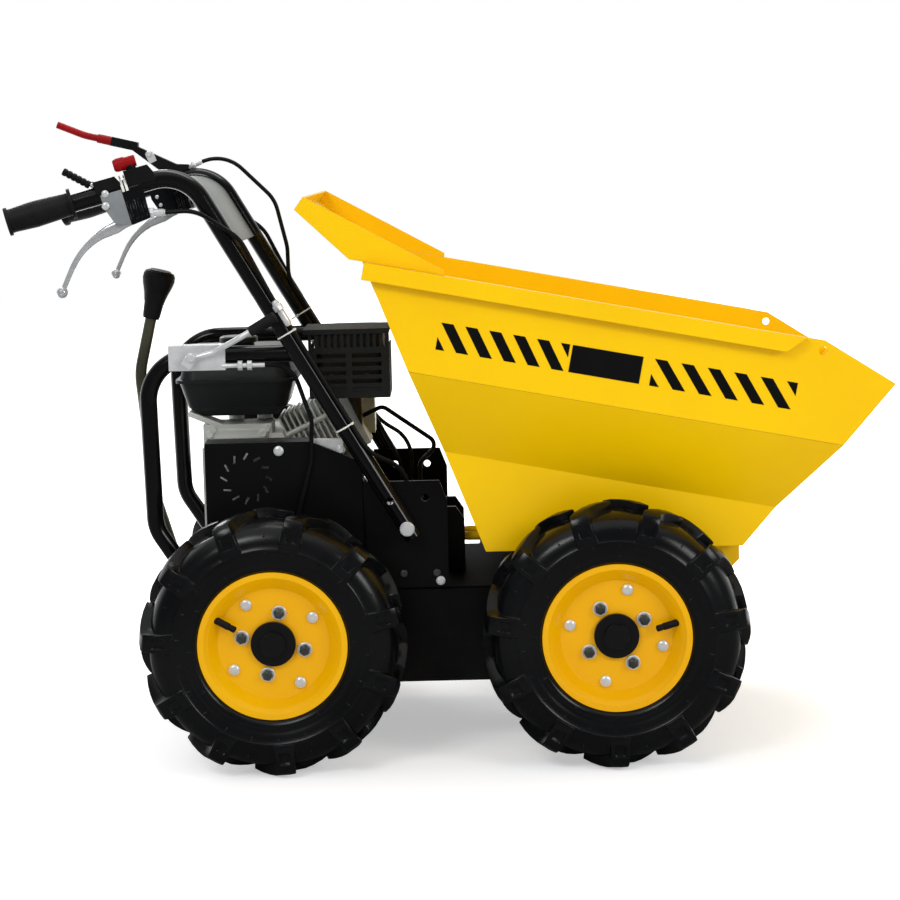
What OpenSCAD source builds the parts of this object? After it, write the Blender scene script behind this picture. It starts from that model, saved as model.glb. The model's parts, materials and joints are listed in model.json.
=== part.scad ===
// Four wheeled walk behind site dumper with a tipping skip.
// Lengths are in millimetres. X runs forward to the tipping end, Y to the left, Z up.

/* [Layout] */
// Distance between the two axles
wheelbase = 525; // [450:1:650]
// How far the middle of the wheelbase lies behind the middle of the whole length
wheelbase_back = 19; // [0:1:60]
// Distance between the middle planes of the left and right tyres
track = 594; // [540:1:700]
// Gap left between pieces that are seated on each other
seat = 0.3; // [0.2:0.1:0.8]
// How far a cutting shape runs past what it cuts
overrun = 4; // [2:1:10]
// Width of the groove where a straight piece meets a bend
bend_groove = 0.05; // [0.02:0.01:0.2]
// Length of the core that joins a straight piece to a bend
bend_core = 1.5; // [1:0.5:3]

/* [Wheels] */
// Tyre diameter over the lugs
tyre_d = 412; // [360:1:480]
// Tyre section width
tyre_w = 106; // [90:1:130]
// Number of tread bars on each side of a tyre
tread_count = 11; // [8:1:15]
// Height of the tread bars over the carcass
tread_rise = 14; // [8:1:18]
// Width of a tread bar
tread_w = 26; // [18:1:34]
// Slant of the tread bars across the crown
tread_slant = 40; // [20:1:50]
// Diameter down to which the bars run on the side of the tyre
tread_foot_d = 300; // [280:1:330]
// How far the bars stand out from the side of the tyre
tread_proud = 2.5; // [1:0.5:5]
// Turn of the front right, front left, rear right and rear left tyre
tread_turn = [74, 91, 78.5, 63]; // [0:0.5:360]
// Rim flange diameter
rim_d = 229; // [200:1:260]
// Width over the rim flanges
rim_w = 78; // [60:1:90]
// Diameter of the seat of the tyre on the rim
bead_d = 204; // [180:1:220]
// Thickness of the rim sheet
rim_t = 3.5; // [2:0.5:6]
// Diameter of the flat wheel disc
disc_d = 172; // [140:1:190]
// Depth of the disc behind the outer flange
disc_depth = 23; // [10:1:35]
// Diameter of the hub cap
hub_d = 69; // [50:1:80]
// Diameter of the hub flange behind the disc
hub_flange_d = 124; // [110:1:140]
// Thickness of the hub flange and of the cap
hub_t = 7; // [4:1:12]
// Diameter of the knob on the hub cap
hub_knob_d = 38; // [20:1:50]
// Diameter of the wheel shaft
shaft_d = 35; // [25:1:45]
// Running clearance of the shaft in the hub
shaft_play = 0.1; // [0.05:0.01:0.2]
// Gap between turning and fixed pieces
run_gap = 6; // [5:1:12]

/* [Chassis] */
// Half the width of the belly box
box_half = 196; // [150:1:215]
// Rear end of the deck
box_rear = -430; // [-460:1:-415]
// How far the deck reaches back past the belly box
deck_over = 26; // [10:1:40]
// Depth of the folded rear edge of the deck
deck_fold = 22; // [12:1:30]
// Front end of the belly box
box_front = 392; // [330:1:396]
// Underside of the belly box
box_low = 114; // [90:1:150]
// Top of the deck plate
box_top = 266; // [240:1:290]
// Thickness of the chassis sheet
box_t = 4; // [3:1:8]
// Diameter of the axle housings
axle_d = 64; // [50:1:90]
// Diameter of the housing flange on the belly box
axle_flange_d = 96; // [80:1:120]
// Length of the gearbox block
gearbox_l = 230; // [150:1:300]
// Width of the gearbox block
gearbox_w = 150; // [100:1:220]
// Height of the gearbox block
gearbox_h = 120; // [80:1:130]
// Thickness of the tower plates
tower_t = 4; // [3:1:8]
// Rear edge of the tower plates
tower_rear = -119; // [-150:1:-100]
// Front edge of the tower plates
tower_front = 8; // [0:1:14]
// Top of the tower plates
tower_top = 436; // [400:1:460]
// Width of the folded foot of the tower plates
tower_foot = 15; // [8:1:18]
// Size of the slanted corner of the tower plates
tower_corner = [12, 32]; // [4:1:60]
// Diameter of the handle adjusting holes
adjust_d = 12; // [8:1:16]
// Height of the adjusting holes under the plate top
adjust_drop = 27; // [20:1:40]
// Places of the two adjusting holes along the machine
adjust_at = [-82, -26.5]; // [-100:0.5:-10]

/* [Handle] */
// Diameter of the handle tube
tube_d = 28; // [22:1:34]
// Middle plane of the handle legs
leg_y = 215; // [205:1:235]
// Handle bolt, along and up
leg_foot = [-55, 364.6]; // [-100:0.1:400]
// Corner of the handle before it is rounded, along and up
leg_head = [-382, 925.3]; // [-420:0.1:1000]
// Rear end of the handle tube, along, across and up
bar_end = [-645, 255, 856.6]; // [-700:0.1:900]
// Bend radius of the handle
leg_bend = 65; // [50:1:100]
// How far the leg runs past its bolt
leg_past = 18; // [10:1:30]
// Diameter of the handle bolts
bolt_d = 12; // [8:1:14]
// Diameter of the handle bolt heads
bolt_head_d = 23; // [18:1:28]
// Thickness of the handle bolt heads
bolt_head_t = 6; // [4:1:10]
// Thickness of the washers under the heads
washer_t = 2; // [1:0.5:4]
// Length of a grip
grip_l = 104; // [90:1:130]
// Diameter of a grip
grip_d = 38; // [34:1:44]
// Diameter of the grip flanges
grip_flange_d = 47; // [42:1:56]
// Thickness of the grip flanges and end
grip_flange_t = 5; // [3:1:8]
// Length of the dash plate above and below the bend
dash_run = [46, 84]; // [20:1:120]
// Thickness of the dash plate
dash_t = 2; // [1.5:0.5:4]

/* [Guard tubes] */
// Diameter of the guard tubes
guard_d = 27; // [20:1:32]
// Middle plane of the guard tubes
guard_y = 200; // [195:1:205]
// Foot of the guard tube, along and up
guard_foot = [-392, 279.6]; // [-450:0.1:400]
// Lower corner of the guard tube
guard_knee = [-450, 371]; // [-480:1:420]
// Upper corner of the guard tube
guard_shoulder = [-455, 641]; // [-480:1:700]
// Bend radius at the knee
knee_bend = 60; // [40:1:90]
// Bend radius at the shoulder
shoulder_bend = 72; // [50:1:90]

/* [Skip] */
// Half the width of the skip at the rim
skip_half = 310; // [280:1:330]
// Half the width of the lower part of the skip
skip_low_half = 225; // [200:1:232]
// Rear end of the rim, along and up
skip_rear = [-110, 785]; // [-150:1:850]
// Front end of the straight rim
skip_crest = [584, 650]; // [500:1:700]
// Front tip of the skip
skip_tip = [690, 582]; // [550:1:740]
// Front end of the floor
skip_toe = [468, 325]; // [310:1:500]
// Rear end of the floor
skip_heel = [67, 325]; // [50:1:340]
// Upper fold below the rim
fold_high = 152; // [120:1:180]
// Lower fold below the rim
fold_low = 273; // [240:1:300]
// Thickness of the skip sheet
skip_t = 3; // [2:0.5:5]
// Width of the folded rim
lip_w = 16; // [10:1:24]
// Depth of the folded rim
lip_h = 26; // [18:1:36]
// Place where the folded rim ends before the crest
lip_short = 30; // [10:1:60]
// Diameter of the holes in the front corners
ring_hole_d = 13; // [8:1:16]
// Place of these holes behind and below the crest
ring_hole_in = [3.5, 15.7]; // [3:0.1:25]
// Fold of the hood behind the rim
hood_fold = [-130, 789]; // [-180:1:830]
// Upper end of the hood plate
hood_top = [-210, 865]; // [-260:1:930]
// Tip of the hood wing
hood_tip = [-196, 884]; // [-240:1:950]
// Front end of the hood wing above the rim
hood_front = [12, 769]; // [-20:1:800]
// Axis of the tipping hinge, along and up
hinge_at = [440, 292]; // [280:1:460]
// Diameter of the hinge pin
pin_d = 16; // [12:1:20]
// Clearance of the hinge pin
pin_play = 0.3; // [0.1:0.1:0.5]
// Middle planes of the chassis lugs and of the skip brackets
lug_y = 150; // [100:1:160]
// Middle plane of the skip brackets
bracket_y = 176; // [165:1:185]
// Thickness of lugs and brackets
lug_t = 8; // [6:1:12]
// Rounding of the chassis lugs around the pin
lug_r = 19; // [14:1:22]
// Rear and front edge of the skip brackets
bracket_x = [405, 468]; // [390:1:480]
// Underside of the skip brackets
bracket_low = 267; // [262:1:275]
// Diameter of the latch loop rod
loop_d = 14; // [10:1:18]
// Rear end of the latch loop
loop_rear = 31; // [20:1:60]
// Half the width of the latch loop
loop_half = 30; // [20:1:40]
// Bend radius of the latch loop
loop_bend = 16; // [12:1:24]

/* [Engine] */
// Crankshaft, along and up
crank = [-280, 429]; // [-320:1:470]
// Top of the engine bed
bed_top = 322; // [300:1:340]
// Rear and front end of the engine bed
bed_x = [-400, -125]; // [-420:1:-120]
// Rear and front face of the crankcase
case_x = [-385, -195]; // [-400:1:-180]
// Right and left face of the crankcase
case_y = [-90, 110]; // [-120:1:140]
// Top of the crankcase
case_top = 503; // [480:1:520]
// Rear and front end of the cover on the crankcase
cover_x = [-382, -272]; // [-390:1:-260]
// Height of the cover
cover_h = 16; // [10:1:20]
// Height of the mounting feet of the crankcase
foot_h = 12; // [8:1:18]
// Start of the cylinder axis, along and up
cyl_at = [-280, 448]; // [-320:1:470]
// Tilt of the cylinder
cyl_tilt = 25; // [15:1:35]
// Start and end of the fins from the crankshaft
fin_span = [46, 140]; // [40:1:160]
// Number of fins
fin_count = 11; // [7:1:14]
// Thickness of a fin
fin_t = 3; // [2:0.5:5]
// Height of a fin across the cylinder
fin_h = 122; // [90:1:130]
// Length of a fin along the crankshaft
fin_w = 136; // [100:1:150]
// Diameter of the cylinder barrel
barrel_d = 88; // [70:1:100]
// Thickness of the cylinder head
head_t = 22; // [12:1:30]
// Rear and front end of the fuel tank at its seam
tank_x = [-424, -229]; // [-430:1:-210]
// Right and left side of the fuel tank
tank_y = [-110, 72]; // [-130:1:100]
// Underside, seam and top of the fuel tank over the crankcase
tank_rise = [29, 87, 137]; // [20:1:150]
// Inset of the lower part and of the top of the tank from the seam
tank_inset = 13; // [6:1:20]
// Rounding of the tank underside
tank_round = 15; // [8:1:20]
// Corner radius of the tank
tank_r = 26; // [16:1:40]
// Width of the seam flange
tank_lip = 5; // [3:1:8]
// Diameter of the fuel cap
cap_d = 62; // [40:1:70]
// Height of the fuel cap
cap_h = 16; // [10:1:24]
// Rear and front face of the muffler guard
muff_x = [-206, -78]; // [-220:1:-60]
// Right and left face of the muffler guard
muff_y = [-140, -10]; // [-160:1:10]
// Underside and top of the muffler guard
muff_z = [562, 672]; // [540:1:690]
// Thickness of the guard sheet
muff_t = 2; // [1.5:0.5:4]
// Gap between the muffler and its guard
muff_gap = 10; // [6:1:16]
// Height of the comb under the top plate of the guard
comb_h = 21; // [12:1:26]
// Number of teeth of the comb
comb_count = 13; // [7:1:19]
// Height of the top plate of the guard
top_plate_h = 8; // [4:1:12]
// How far the top plate reaches back over the guard
top_plate_over = 8; // [0:1:14]
// Rows of slots in the guard
slot_rows = 5; // [3:1:7]
// Height of a guard slot
slot_h = 7; // [4:1:10]
// Length of a guard slot
slot_l = 46; // [30:1:52]
// Rear and front face of the air cleaner
air_x = [-196, -84]; // [-210:1:-60]
// Right and left face of the air cleaner
air_y = [4, 120]; // [0:1:140]
// Underside and top of the air cleaner
air_z = [564, 664]; // [540:1:690]
// Diameter of the recoil starter
recoil_d = 196; // [160:1:210]
// Depth of the recoil starter
recoil_l = 58; // [40:1:70]

/* [Belt guard] */
// Rear and front end of the flat top of the belt guard
belt_x = [-370, -205]; // [-390:1:-180]
// Front end of the belt guard
belt_front = -123; // [-140:1:-121]
// Top of the belt guard and its height at the front end
belt_z = [501, 466]; // [440:1:520]
// Depth of the belt guard
belt_depth = 60; // [40:1:80]
// Thickness of its sheet
belt_t = 2.5; // [2:0.5:4]
// Number of vent slots
vent_count = 12; // [8:1:16]
// Middle of the ring of vent slots, along and up
vent_at = [-306, 445]; // [-330:1:460]
// Radius of the ring of vent slots
vent_r = 35; // [28:1:50]
// Length and width of a vent slot
vent_size = [12, 3]; // [2:1:20]
// Turn of the vent slots against the radius
vent_swirl = 33; // [0:1:45]

/* [Controls] */
// Where the lever housings hang on the bar, along
housing_x = -478; // [-486:1:-470]
// How much further forward the left lever and its housing sit
housing_shift = 17; // [0:1:24]
// Length and depth of the lever housings
housing_size = [66, 56]; // [40:1:80]
// Width of the lever housings
housing_w = 30; // [24:1:40]
// Diameter of the steering levers
lever_d = 10; // [8:1:14]
// Root of the steering lever in its housing, along and up
lever_root = [-462, 852]; // [-480:1:870]
// Elbow of the steering lever, along and up
lever_elbow = [-538, 825]; // [-600:1:880]
// Ball of the steering lever, along and up
lever_ball = [-575, 745]; // [-620:1:800]
// Diameter of the ball
ball_d = 18; // [14:1:24]
// Bend radius of the lever
lever_bend = 120; // [80:1:130]
// Tip of the red lever, along and up
dead_tip = [-648, 1008]; // [-680:1:1030]
// Elbow of the red lever
dead_elbow = [-556, 978]; // [-600:1:1000]
// Pivot of the red lever
dead_pivot = [-520, 972]; // [-540:1:990]
// Diameter of the red lever
dead_d = 12; // [8:1:14]
// Place of the bracket of the red lever on the bar
dead_foot = -446; // [-470:1:-430]
// Width of the bracket of the red lever
dead_w = 22; // [16:1:28]
// Height of the bracket plate
dead_h = 20; // [12:1:26]
// Place of the stop switch on the bar
switch_x = -447; // [-455:1:-435]
// Length, width and height of the stop switch base
switch_size = [44, 30, 26]; // [16:1:60]
// Length and diameter of the stop button
button_size = [35, 21]; // [12:1:40]
// Place of the throttle lever on the bar
throttle_x = -496; // [-505:1:-490]
// Length, width and height of the throttle base
throttle_size = [40, 28, 22]; // [16:1:50]
// Length and diameter of the throttle tab
tab_size = [46, 12]; // [8:1:60]
// Tilt of the throttle tab against the bar
tab_tilt = 44; // [20:1:60]
// Rear and front end of the brake clamp
clamp_x = [-418, -330]; // [-430:1:-320]
// Thickness of the clamp sheet
clamp_t = 3; // [2:0.5:5]
// Diameter of the brake lever rod
brake_d = 9; // [7:1:12]
// Diameter of the brake sleeve
sleeve_d = 19; // [15:1:24]
// Places of the brake lever, along
brake_x = [-385, -346, -304, -255]; // [-400:1:-240]
// Heights of the brake lever
brake_z = [637, 647, 670, 697]; // [620:1:720]
// Gap between the brake sleeve and the handle leg
sleeve_gap = 6; // [4:1:9]
// Front end of the brake cable adjuster, along and up
brake_stop = [-269, 625]; // [-290:1:640]
// Middle plane of the gear lever
gear_y = -90; // [-120:1:-60]
// Length of the knob
knob_l = 77; // [60:1:90]
// Largest diameter of the knob
knob_d = 51; // [40:1:56]
// Diameter of the gear lever
gear_d = 18; // [12:1:22]
// Knob, elbows and foot of the gear lever, along
gear_x = [-459, -480, -462, -418]; // [-500:1:-400]
// Heights of the underside of the knob and of the elbows
gear_z = [693, 606, 400]; // [380:1:700]
// Bend radius of the gear lever
gear_bend = 110; // [60:1:160]
// Diameter of the control cables
cable_d = 7; // [5:1:9]
// Diameter of the cable adjusters
adjuster_d = 10; // [8:1:14]

/* [Hidden] */
$fn = 48;
core_share = 0.86;
wheel_z = tyre_d / 2;
rear_x = -wheelbase / 2;
front_x = wheelbase / 2;
tyre_y = track / 2;
tube_r = tube_d / 2;
tank_z = [for (rise = tank_rise) case_top + rise];
plate_out = leg_y - tube_r - seat;
skip_slope = atan2(skip_rear[1] - skip_crest[1], skip_crest[0] - skip_rear[0]);
rim_high = skip_rear[0] * sin(skip_slope) + skip_rear[1] * cos(skip_slope);
leg_dir = (leg_head - leg_foot) / norm(leg_head - leg_foot);
bar_dir = [bar_end[0] - leg_head[0], bar_end[2] - leg_head[1]];

// Helpers

function unit(v) = v / norm(v);
function mid(a, b) = (a + b) / 2;
// Height of the bar axis over a place along the machine
function bar_z(x) = leg_head[1] + (x - leg_head[0]) * bar_dir[1] / bar_dir[0];
// Distance of the bar axis from the middle plane at a place along the machine
function bar_y(x) = leg_y + (x - leg_head[0]) * (bar_end[1] - leg_y) / (bar_end[0] - leg_head[0]);
// Place of the leg axis at a height
function leg_x(z) = leg_foot[0] + (z - leg_foot[1]) * leg_dir[0] / leg_dir[1];
// Meeting point of two lines given by a point and a direction
function meet(p, d, q, e) = p + d * (((q[0] - p[0]) * e[1] - (q[1] - p[1]) * e[0]) / (d[0] * e[1] - d[1] * e[0]));
// Left hand normal of a direction in the plane
function left_of(d) = [-d[1], d[0]] / norm(d);
// Height of the rim line over a place along the machine
function rim_z(x) = skip_rear[1] - (x - skip_rear[0]) * tan(skip_slope);

module placed() {
  translate([-wheelbase_back, 0, 0])
    children();
}

module both_sides() {
  children();
  mirror([0, 1, 0])
    children();
}

// Puts a shape made along Z on the line from one point to another
module along(p, q) {
  v = q - p;
  translate(p)
    rotate([0, acos(v[2] / norm(v)), atan2(v[1], v[0])])
      children();
}

// Round rod from one point to another
module rod(p, q, d) {
  along(p, q)
    cylinder(h = norm(q - p), d = d);
}

// Round body of a length whose outline is given in shares of that length and of a radius
module turned(length, radius, length_shares, width_shares) {
  wall = [for (i = [0 : len(length_shares) - 1]) [radius * width_shares[i], length * length_shares[i]]];
  rotate_extrude()
    polygon(concat([[0, length * length_shares[0]]], wall, [[0, length]]));
}

// Quarter of a ring at the corner b of a pipe that comes from a and goes on to c
module pipe_bend(a, b, c, d, r) {
  u = unit(b - a);
  w = unit(c - b);
  turn = acos(u * w);
  inward = unit(w - u * (u * w));
  start = b - u * r * tan(turn / 2);
  centre = start + inward * r;
  z = cross(-inward, u);
  multmatrix([
    [-inward[0], u[0], z[0], centre[0]],
    [-inward[1], u[1], z[1], centre[1]],
    [-inward[2], u[2], z[2], centre[2]],
    [0, 0, 0, 1]
  ])
    rotate_extrude(angle = turn)
      translate([r, 0])
        circle(d = d);
}

function bend_short(a, b, c, r) = r * tan(acos(unit(b - a) * unit(c - b)) / 2);

// Round pipe along a route whose inner corners are bent to radius r, its pieces joined by cores
module bent_pipe(route, d, r) {
  last = len(route) - 1;
  for (i = [0 : last - 1]) {
    u = unit(route[i + 1] - route[i]);
    from = i == 0 ? route[0] : route[i] + u * bend_short(route[i - 1], route[i], route[i + 1], r);
    to = i == last - 1 ? route[last] : route[i + 1] - u * bend_short(route[i], route[i + 1], route[i + 2], r);
    rod(from + u * (i == 0 ? 0 : bend_groove), to - u * (i == last - 1 ? 0 : bend_groove), d);
    if (i > 0) {
      pipe_bend(route[i - 1], route[i], route[i + 1], d, r);
      rod(from - u * bend_core, from + u * bend_core, d * core_share);
    }
    if (i < last - 1)
      rod(to - u * bend_core, to + u * bend_core, d * core_share);
  }
}

// Outline in the X Z plane made as thick as the stretch between two Y places
module upright(outline, y_from, y_to) {
  translate([0, y_to, 0])
    rotate([90, 0, 0])
      linear_extrude(y_to - y_from)
        polygon(outline);
}

// Box between two corners
module block(low, high) {
  translate(low)
    cube(high - low);
}

// Round bar across the machine
module across(x, z, d, y_from, y_to) {
  translate([x, y_to, z])
    rotate([90, 0, 0])
      cylinder(h = y_to - y_from, d = d);
}

// Wheels

// Puts a wheel made around the Y axis, outer side to the right, at its place
module wheel_at(x, left) {
  translate([x, 0, wheel_z])
    mirror([0, left ? 1 : 0, 0])
      translate([0, -tyre_y, 0])
        rotate([90, 0, 0])
          children();
}

tyre_width_shares = [0.8, 0.92, 0.99, 1, 0.985, 0.93, 0.8, 0.62];
tyre_height_shares = [0.03, 0.12, 0.28, 0.42, 0.6, 0.78, 0.93, 1];

tread_width_shares = [0.5, 0.74, 0.88, 0.97, 1, 1];
tread_height_shares = [1, 0.965, 0.9, 0.66, 0.35, 0];
tread_knee_share = 0.72;

// Smooth body of the tyre
module carcass() {
  bead = bead_d / 2;
  flange = rim_d / 2 + seat;
  inside = rim_w / 2 - rim_t - seat;
  high = tyre_d / 2 - tread_rise - flange;
  half = tyre_w / 2 - tread_proud;
  foot = [[bead + seat, inside - rim_t], [bead + rim_t + seat, inside], [flange, inside]];
  wall = [for (i = [0 : 7]) [flange + high * tyre_height_shares[i], half * tyre_width_shares[i]]];
  side = concat(foot, wall);
  back = [for (i = [len(side) - 1 : -1 : 0]) [side[i][0], -side[i][1]]];
  rotate_extrude()
    polygon(concat(side, back));
}

// Ring that all the tread bars of the outer half are cut from
module tread_ring() {
  top = tyre_d / 2;
  foot = tread_foot_d / 2;
  half = tyre_w / 2;
  core = top - tread_rise * 3 / 2;
  side = [for (i = [0 : 5]) [foot + (top - foot) * tread_height_shares[i], half * tread_width_shares[i]]];
  rotate_extrude()
    polygon(concat(
      [[top, -tread_w / 4]], side, [[foot, half - tread_rise / 2], [core, half / 2], [core, -tread_w / 4]]
    ));
}

// Bar that runs slanted from the crown to the shoulder and straight down the side
module tread_bar() {
  top = tyre_d / 2 + overrun;
  foot = tread_foot_d / 2 - overrun;
  knee = tyre_w / 2 * tread_knee_share;
  translate([0, 0, knee])
    rotate([-tread_slant, 0, 0])
      translate([foot, -tread_w / 2, -tyre_w])
        cube([top - foot, tread_w, tyre_w]);
  translate([foot, -tread_w / 2, knee - tread_w / 4])
    cube([top - foot, tread_w, tyre_w / 2]);
}

module tread_half() {
  intersection() {
    tread_ring();
    for (i = [0 : tread_count - 1])
      rotate([0, 0, 360 * i / tread_count])
        tread_bar();
  }
}

module tyre(turn) {
  color([0.09, 0.09, 0.1])
    rotate([0, 0, turn])
      union() {
        carcass();
        tread_half();
        rotate([0, 0, 180 / tread_count])
          mirror([0, 0, 1])
            tread_half();
      }
}

module rim() {
  half = rim_w / 2;
  flange = rim_d / 2;
  bead = bead_d / 2;
  disc = disc_d / 2;
  face = half - disc_depth;
  hole = hub_knob_d / 2 + hub_t;
  color([0.98, 0.68, 0.05])
    rotate_extrude()
      polygon([
        [hole, face], [disc, face], [bead - rim_t, half - rim_t * 2], [bead + rim_t, half],
        [flange, half], [flange, half - rim_t], [bead + rim_t, half - rim_t], [bead, half - rim_t * 2],
        [bead, -half + rim_t * 2], [bead + rim_t, -half + rim_t], [flange, -half + rim_t], [flange, -half],
        [bead + rim_t, -half], [bead - rim_t, -half + rim_t * 2],
        [bead - rim_t, face - rim_t * 2], [disc, face - rim_t], [hole, face - rim_t]
      ]);
}

module hub() {
  face = rim_w / 2 - disc_depth;
  cap = hub_d / 2;
  knob = hub_knob_d / 2;
  neck = knob + hub_t - seat;
  behind = face - rim_t - seat;
  flange = hub_flange_d / 2;
  bore = shaft_d / 2 + shaft_play;
  inner = -tyre_w / 2 - run_gap;
  color([0.12, 0.12, 0.13])
    rotate_extrude()
      polygon([
        [bore, inner], [cap, inner], [cap, behind - hub_t], [flange, behind - hub_t], [flange, behind],
        [neck, behind], [neck, face + seat], [cap, face + seat], [cap, face + hub_t], [knob, face + hub_t],
        [knob, face + hub_t * 2], [0, face + hub_t * 2], [0, face], [bore, face]
      ]);
}

// Skip

// Puts an outline across the skip, drawn as distance from the middle and height along the rim normal
module along_rim(from, length) {
  c = cos(skip_slope);
  s = sin(skip_slope);
  multmatrix([
    [0, s, c, from * c],
    [1, 0, 0, 0],
    [0, c, -s, -from * s],
    [0, 0, 0, 1]
  ])
    linear_extrude(length)
      children();
}

skip_reach = skip_tip[0] - skip_rear[0];
skip_start = skip_rear[0] * cos(skip_slope) - skip_rear[1] * sin(skip_slope) - skip_reach / 4;

// Folded cross section of the skip, drawn in by a lateral inset
module skip_section(inset) {
  wide = skip_half - inset;
  narrow = skip_low_half - inset;
  top = rim_high + overrun;
  deep = rim_high - skip_reach;
  polygon([
    [-wide, top], [wide, top], [wide, rim_high - fold_high], [narrow, rim_high - fold_low],
    [narrow, deep], [-narrow, deep], [-narrow, rim_high - fold_low], [-wide, rim_high - fold_high]
  ]);
}

// Sheet of both side walls between two heights under the rim
module skip_wall(from, to) {
  outline = [skip_rear, skip_crest, skip_tip, skip_toe, skip_heel];
  intersection() {
    upright(outline, -skip_half, skip_half);
    along_rim(skip_start, skip_reach * 2)
      intersection() {
        difference() {
          skip_section(0);
          skip_section(skip_t);
        }
        translate([-skip_half, rim_high - to])
          square([skip_half * 2, to - from]);
      }
  }
}

module skip_sides() {
  lip_from = skip_rear[0] * cos(skip_slope) - skip_rear[1] * sin(skip_slope) + skip_t;
  lip_to = (skip_crest[0] - lip_short) * cos(skip_slope) - skip_crest[1] * sin(skip_slope);
  hole = skip_crest - ring_hole_in;
  end_x = skip_crest[0] - lip_short;
  end = [end_x, rim_z(end_x)];
  back = unit(skip_rear - skip_crest);
  down = left_of(back);
  drop = lip_h + overrun;
  color([0.99, 0.74, 0.05])
    difference() {
      union() {
        skip_wall(-overrun, fold_high - seat);
        both_sides()
          along_rim(lip_from, lip_to - lip_from)
            polygon([
              [skip_half - skip_t / 2, rim_high - skip_t], [skip_half - skip_t / 2, rim_high],
              [skip_half + lip_w, rim_high], [skip_half + lip_w, rim_high - lip_h],
              [skip_half + lip_w - skip_t, rim_high - lip_h], [skip_half + lip_w - skip_t, rim_high - skip_t]
            ]);
      }
      across(hole[0], hole[1], ring_hole_d, -skip_half - overrun, skip_half + overrun);
      // The folded rim ends on a slant
      both_sides()
        upright(
          [end, end + down * drop + back * drop, end + down * drop - back * drop, end - back * drop],
          skip_half + skip_t, skip_half + lip_w + overrun
        );
    }
}

// Slanted and upright walls under the upper fold
module skip_flanks() {
  color([0.98, 0.72, 0.05])
    skip_wall(fold_high, skip_reach);
}

module skip_pan() {
  back = skip_heel - skip_rear;
  floor_dir = skip_toe - skip_heel;
  front = skip_tip - skip_toe;
  a = skip_rear + left_of(back) * skip_t;
  b = skip_heel + left_of(floor_dir) * skip_t;
  c = skip_tip + left_of(front) * skip_t;
  heel = meet(a, back, b, floor_dir);
  toe = meet(b, floor_dir, c, front);
  top = meet(a, back, skip_rear, skip_crest - skip_rear);
  tip = meet(c, front, skip_tip, skip_crest - skip_tip);
  color([0.97, 0.7, 0.05])
    intersection() {
      upright([skip_rear, skip_heel, skip_toe, skip_tip, tip, toe, heel, top], -skip_half, skip_half);
      along_rim(skip_start, skip_reach * 2)
        skip_section(skip_t);
    }
}

module skip_hood() {
  start = [skip_rear[0], skip_rear[1] + seat];
  flat_dir = hood_fold - start;
  rise = hood_top - hood_fold;
  turn = hood_tip - hood_top;
  n0 = -left_of(flat_dir);
  n1 = -left_of(rise);
  n2 = -left_of(turn);
  p0 = start + n0 * skip_t;
  p1 = meet(p0, flat_dir, hood_fold + n1 * skip_t, rise);
  p2 = meet(hood_fold + n1 * skip_t, rise, hood_top + n2 * skip_t, turn);
  p3 = hood_tip + n2 * skip_t;
  foot = [hood_front[0], rim_z(hood_front[0]) + seat];
  wing = [start, hood_fold, hood_top, hood_tip, hood_front, foot];
  color([0.99, 0.74, 0.05])
    union() {
      upright([start, hood_fold, hood_top, hood_tip, p3, p2, p1, p0], -skip_half, skip_half);
      both_sides()
        upright(wing, -skip_half, -skip_half + skip_t);
    }
}

module skip_brackets() {
  low = bracket_low;
  high = skip_heel[1] - seat;
  cut = (high - low) / 2;
  rear = bracket_x[0];
  front = bracket_x[1];
  color([0.93, 0.62, 0.04])
    both_sides()
      difference() {
        upright(
          [[rear, high], [front, high], [front, low + cut], [front - cut, low], [rear + cut, low], [rear, low + cut]],
          bracket_y - lug_t / 2, bracket_y + lug_t / 2
        );
        across(hinge_at[0], hinge_at[1], pin_d + pin_play * 2, bracket_y - lug_t, bracket_y + lug_t);
      }
}

module skip_loop() {
  z = skip_heel[1] - seat - loop_d / 2;
  front = skip_heel[0] + loop_half * 2;
  color([0.97, 0.7, 0.05])
    bent_pipe(
      [[front, -loop_half, z], [loop_rear, -loop_half, z], [loop_rear, loop_half, z], [front, loop_half, z]],
      loop_d, loop_bend
    );
}

// Chassis

module chassis_pan() {
  rear = box_rear + deck_over;
  color([0.1, 0.1, 0.11])
    difference() {
      block([rear, -box_half, box_low], [box_front, box_half, box_top - box_t - seat]);
      block([rear + box_t, -box_half + box_t, box_low + box_t], [box_front - box_t, box_half - box_t, box_top]);
      for (x = [rear_x, front_x])
        across(x, wheel_z, shaft_d + seat * 2, -box_half - overrun, box_half + overrun);
    }
}

module chassis_deck() {
  pin_x = hinge_at[0];
  pin_z = hinge_at[1];
  rest = [skip_heel[0] + lug_t * 6, skip_heel[0] + lug_t * 12];
  rest_top = skip_heel[1] - run_gap - loop_d;
  color([0.11, 0.11, 0.12])
    difference() {
      union() {
        block([box_rear, -box_half, box_top - box_t], [box_front, box_half, box_top]);
        block([box_rear, -box_half, box_top - deck_fold], [box_rear + box_t, box_half, box_top]);
        both_sides()
          block([pin_x - lug_r * 4, lug_y - lug_t / 2, box_top - box_t / 2], [pin_x, lug_y + lug_t / 2, pin_z + lug_r]);
        both_sides()
          across(pin_x, pin_z, lug_r * 2, lug_y - lug_t / 2, lug_y + lug_t / 2);
        both_sides()
          block([rest[0], loop_half * 2, box_top - box_t / 2], [rest[1], lug_y, rest_top]);
      }
      across(pin_x, pin_z, pin_d + pin_play * 2, -box_half, box_half);
    }
}

module gearbox() {
  color([0.35, 0.36, 0.37])
    translate([-gearbox_l / 2, -gearbox_w / 2, box_low + box_t + seat])
      cube([gearbox_l, gearbox_w, gearbox_h]);
}

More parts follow.
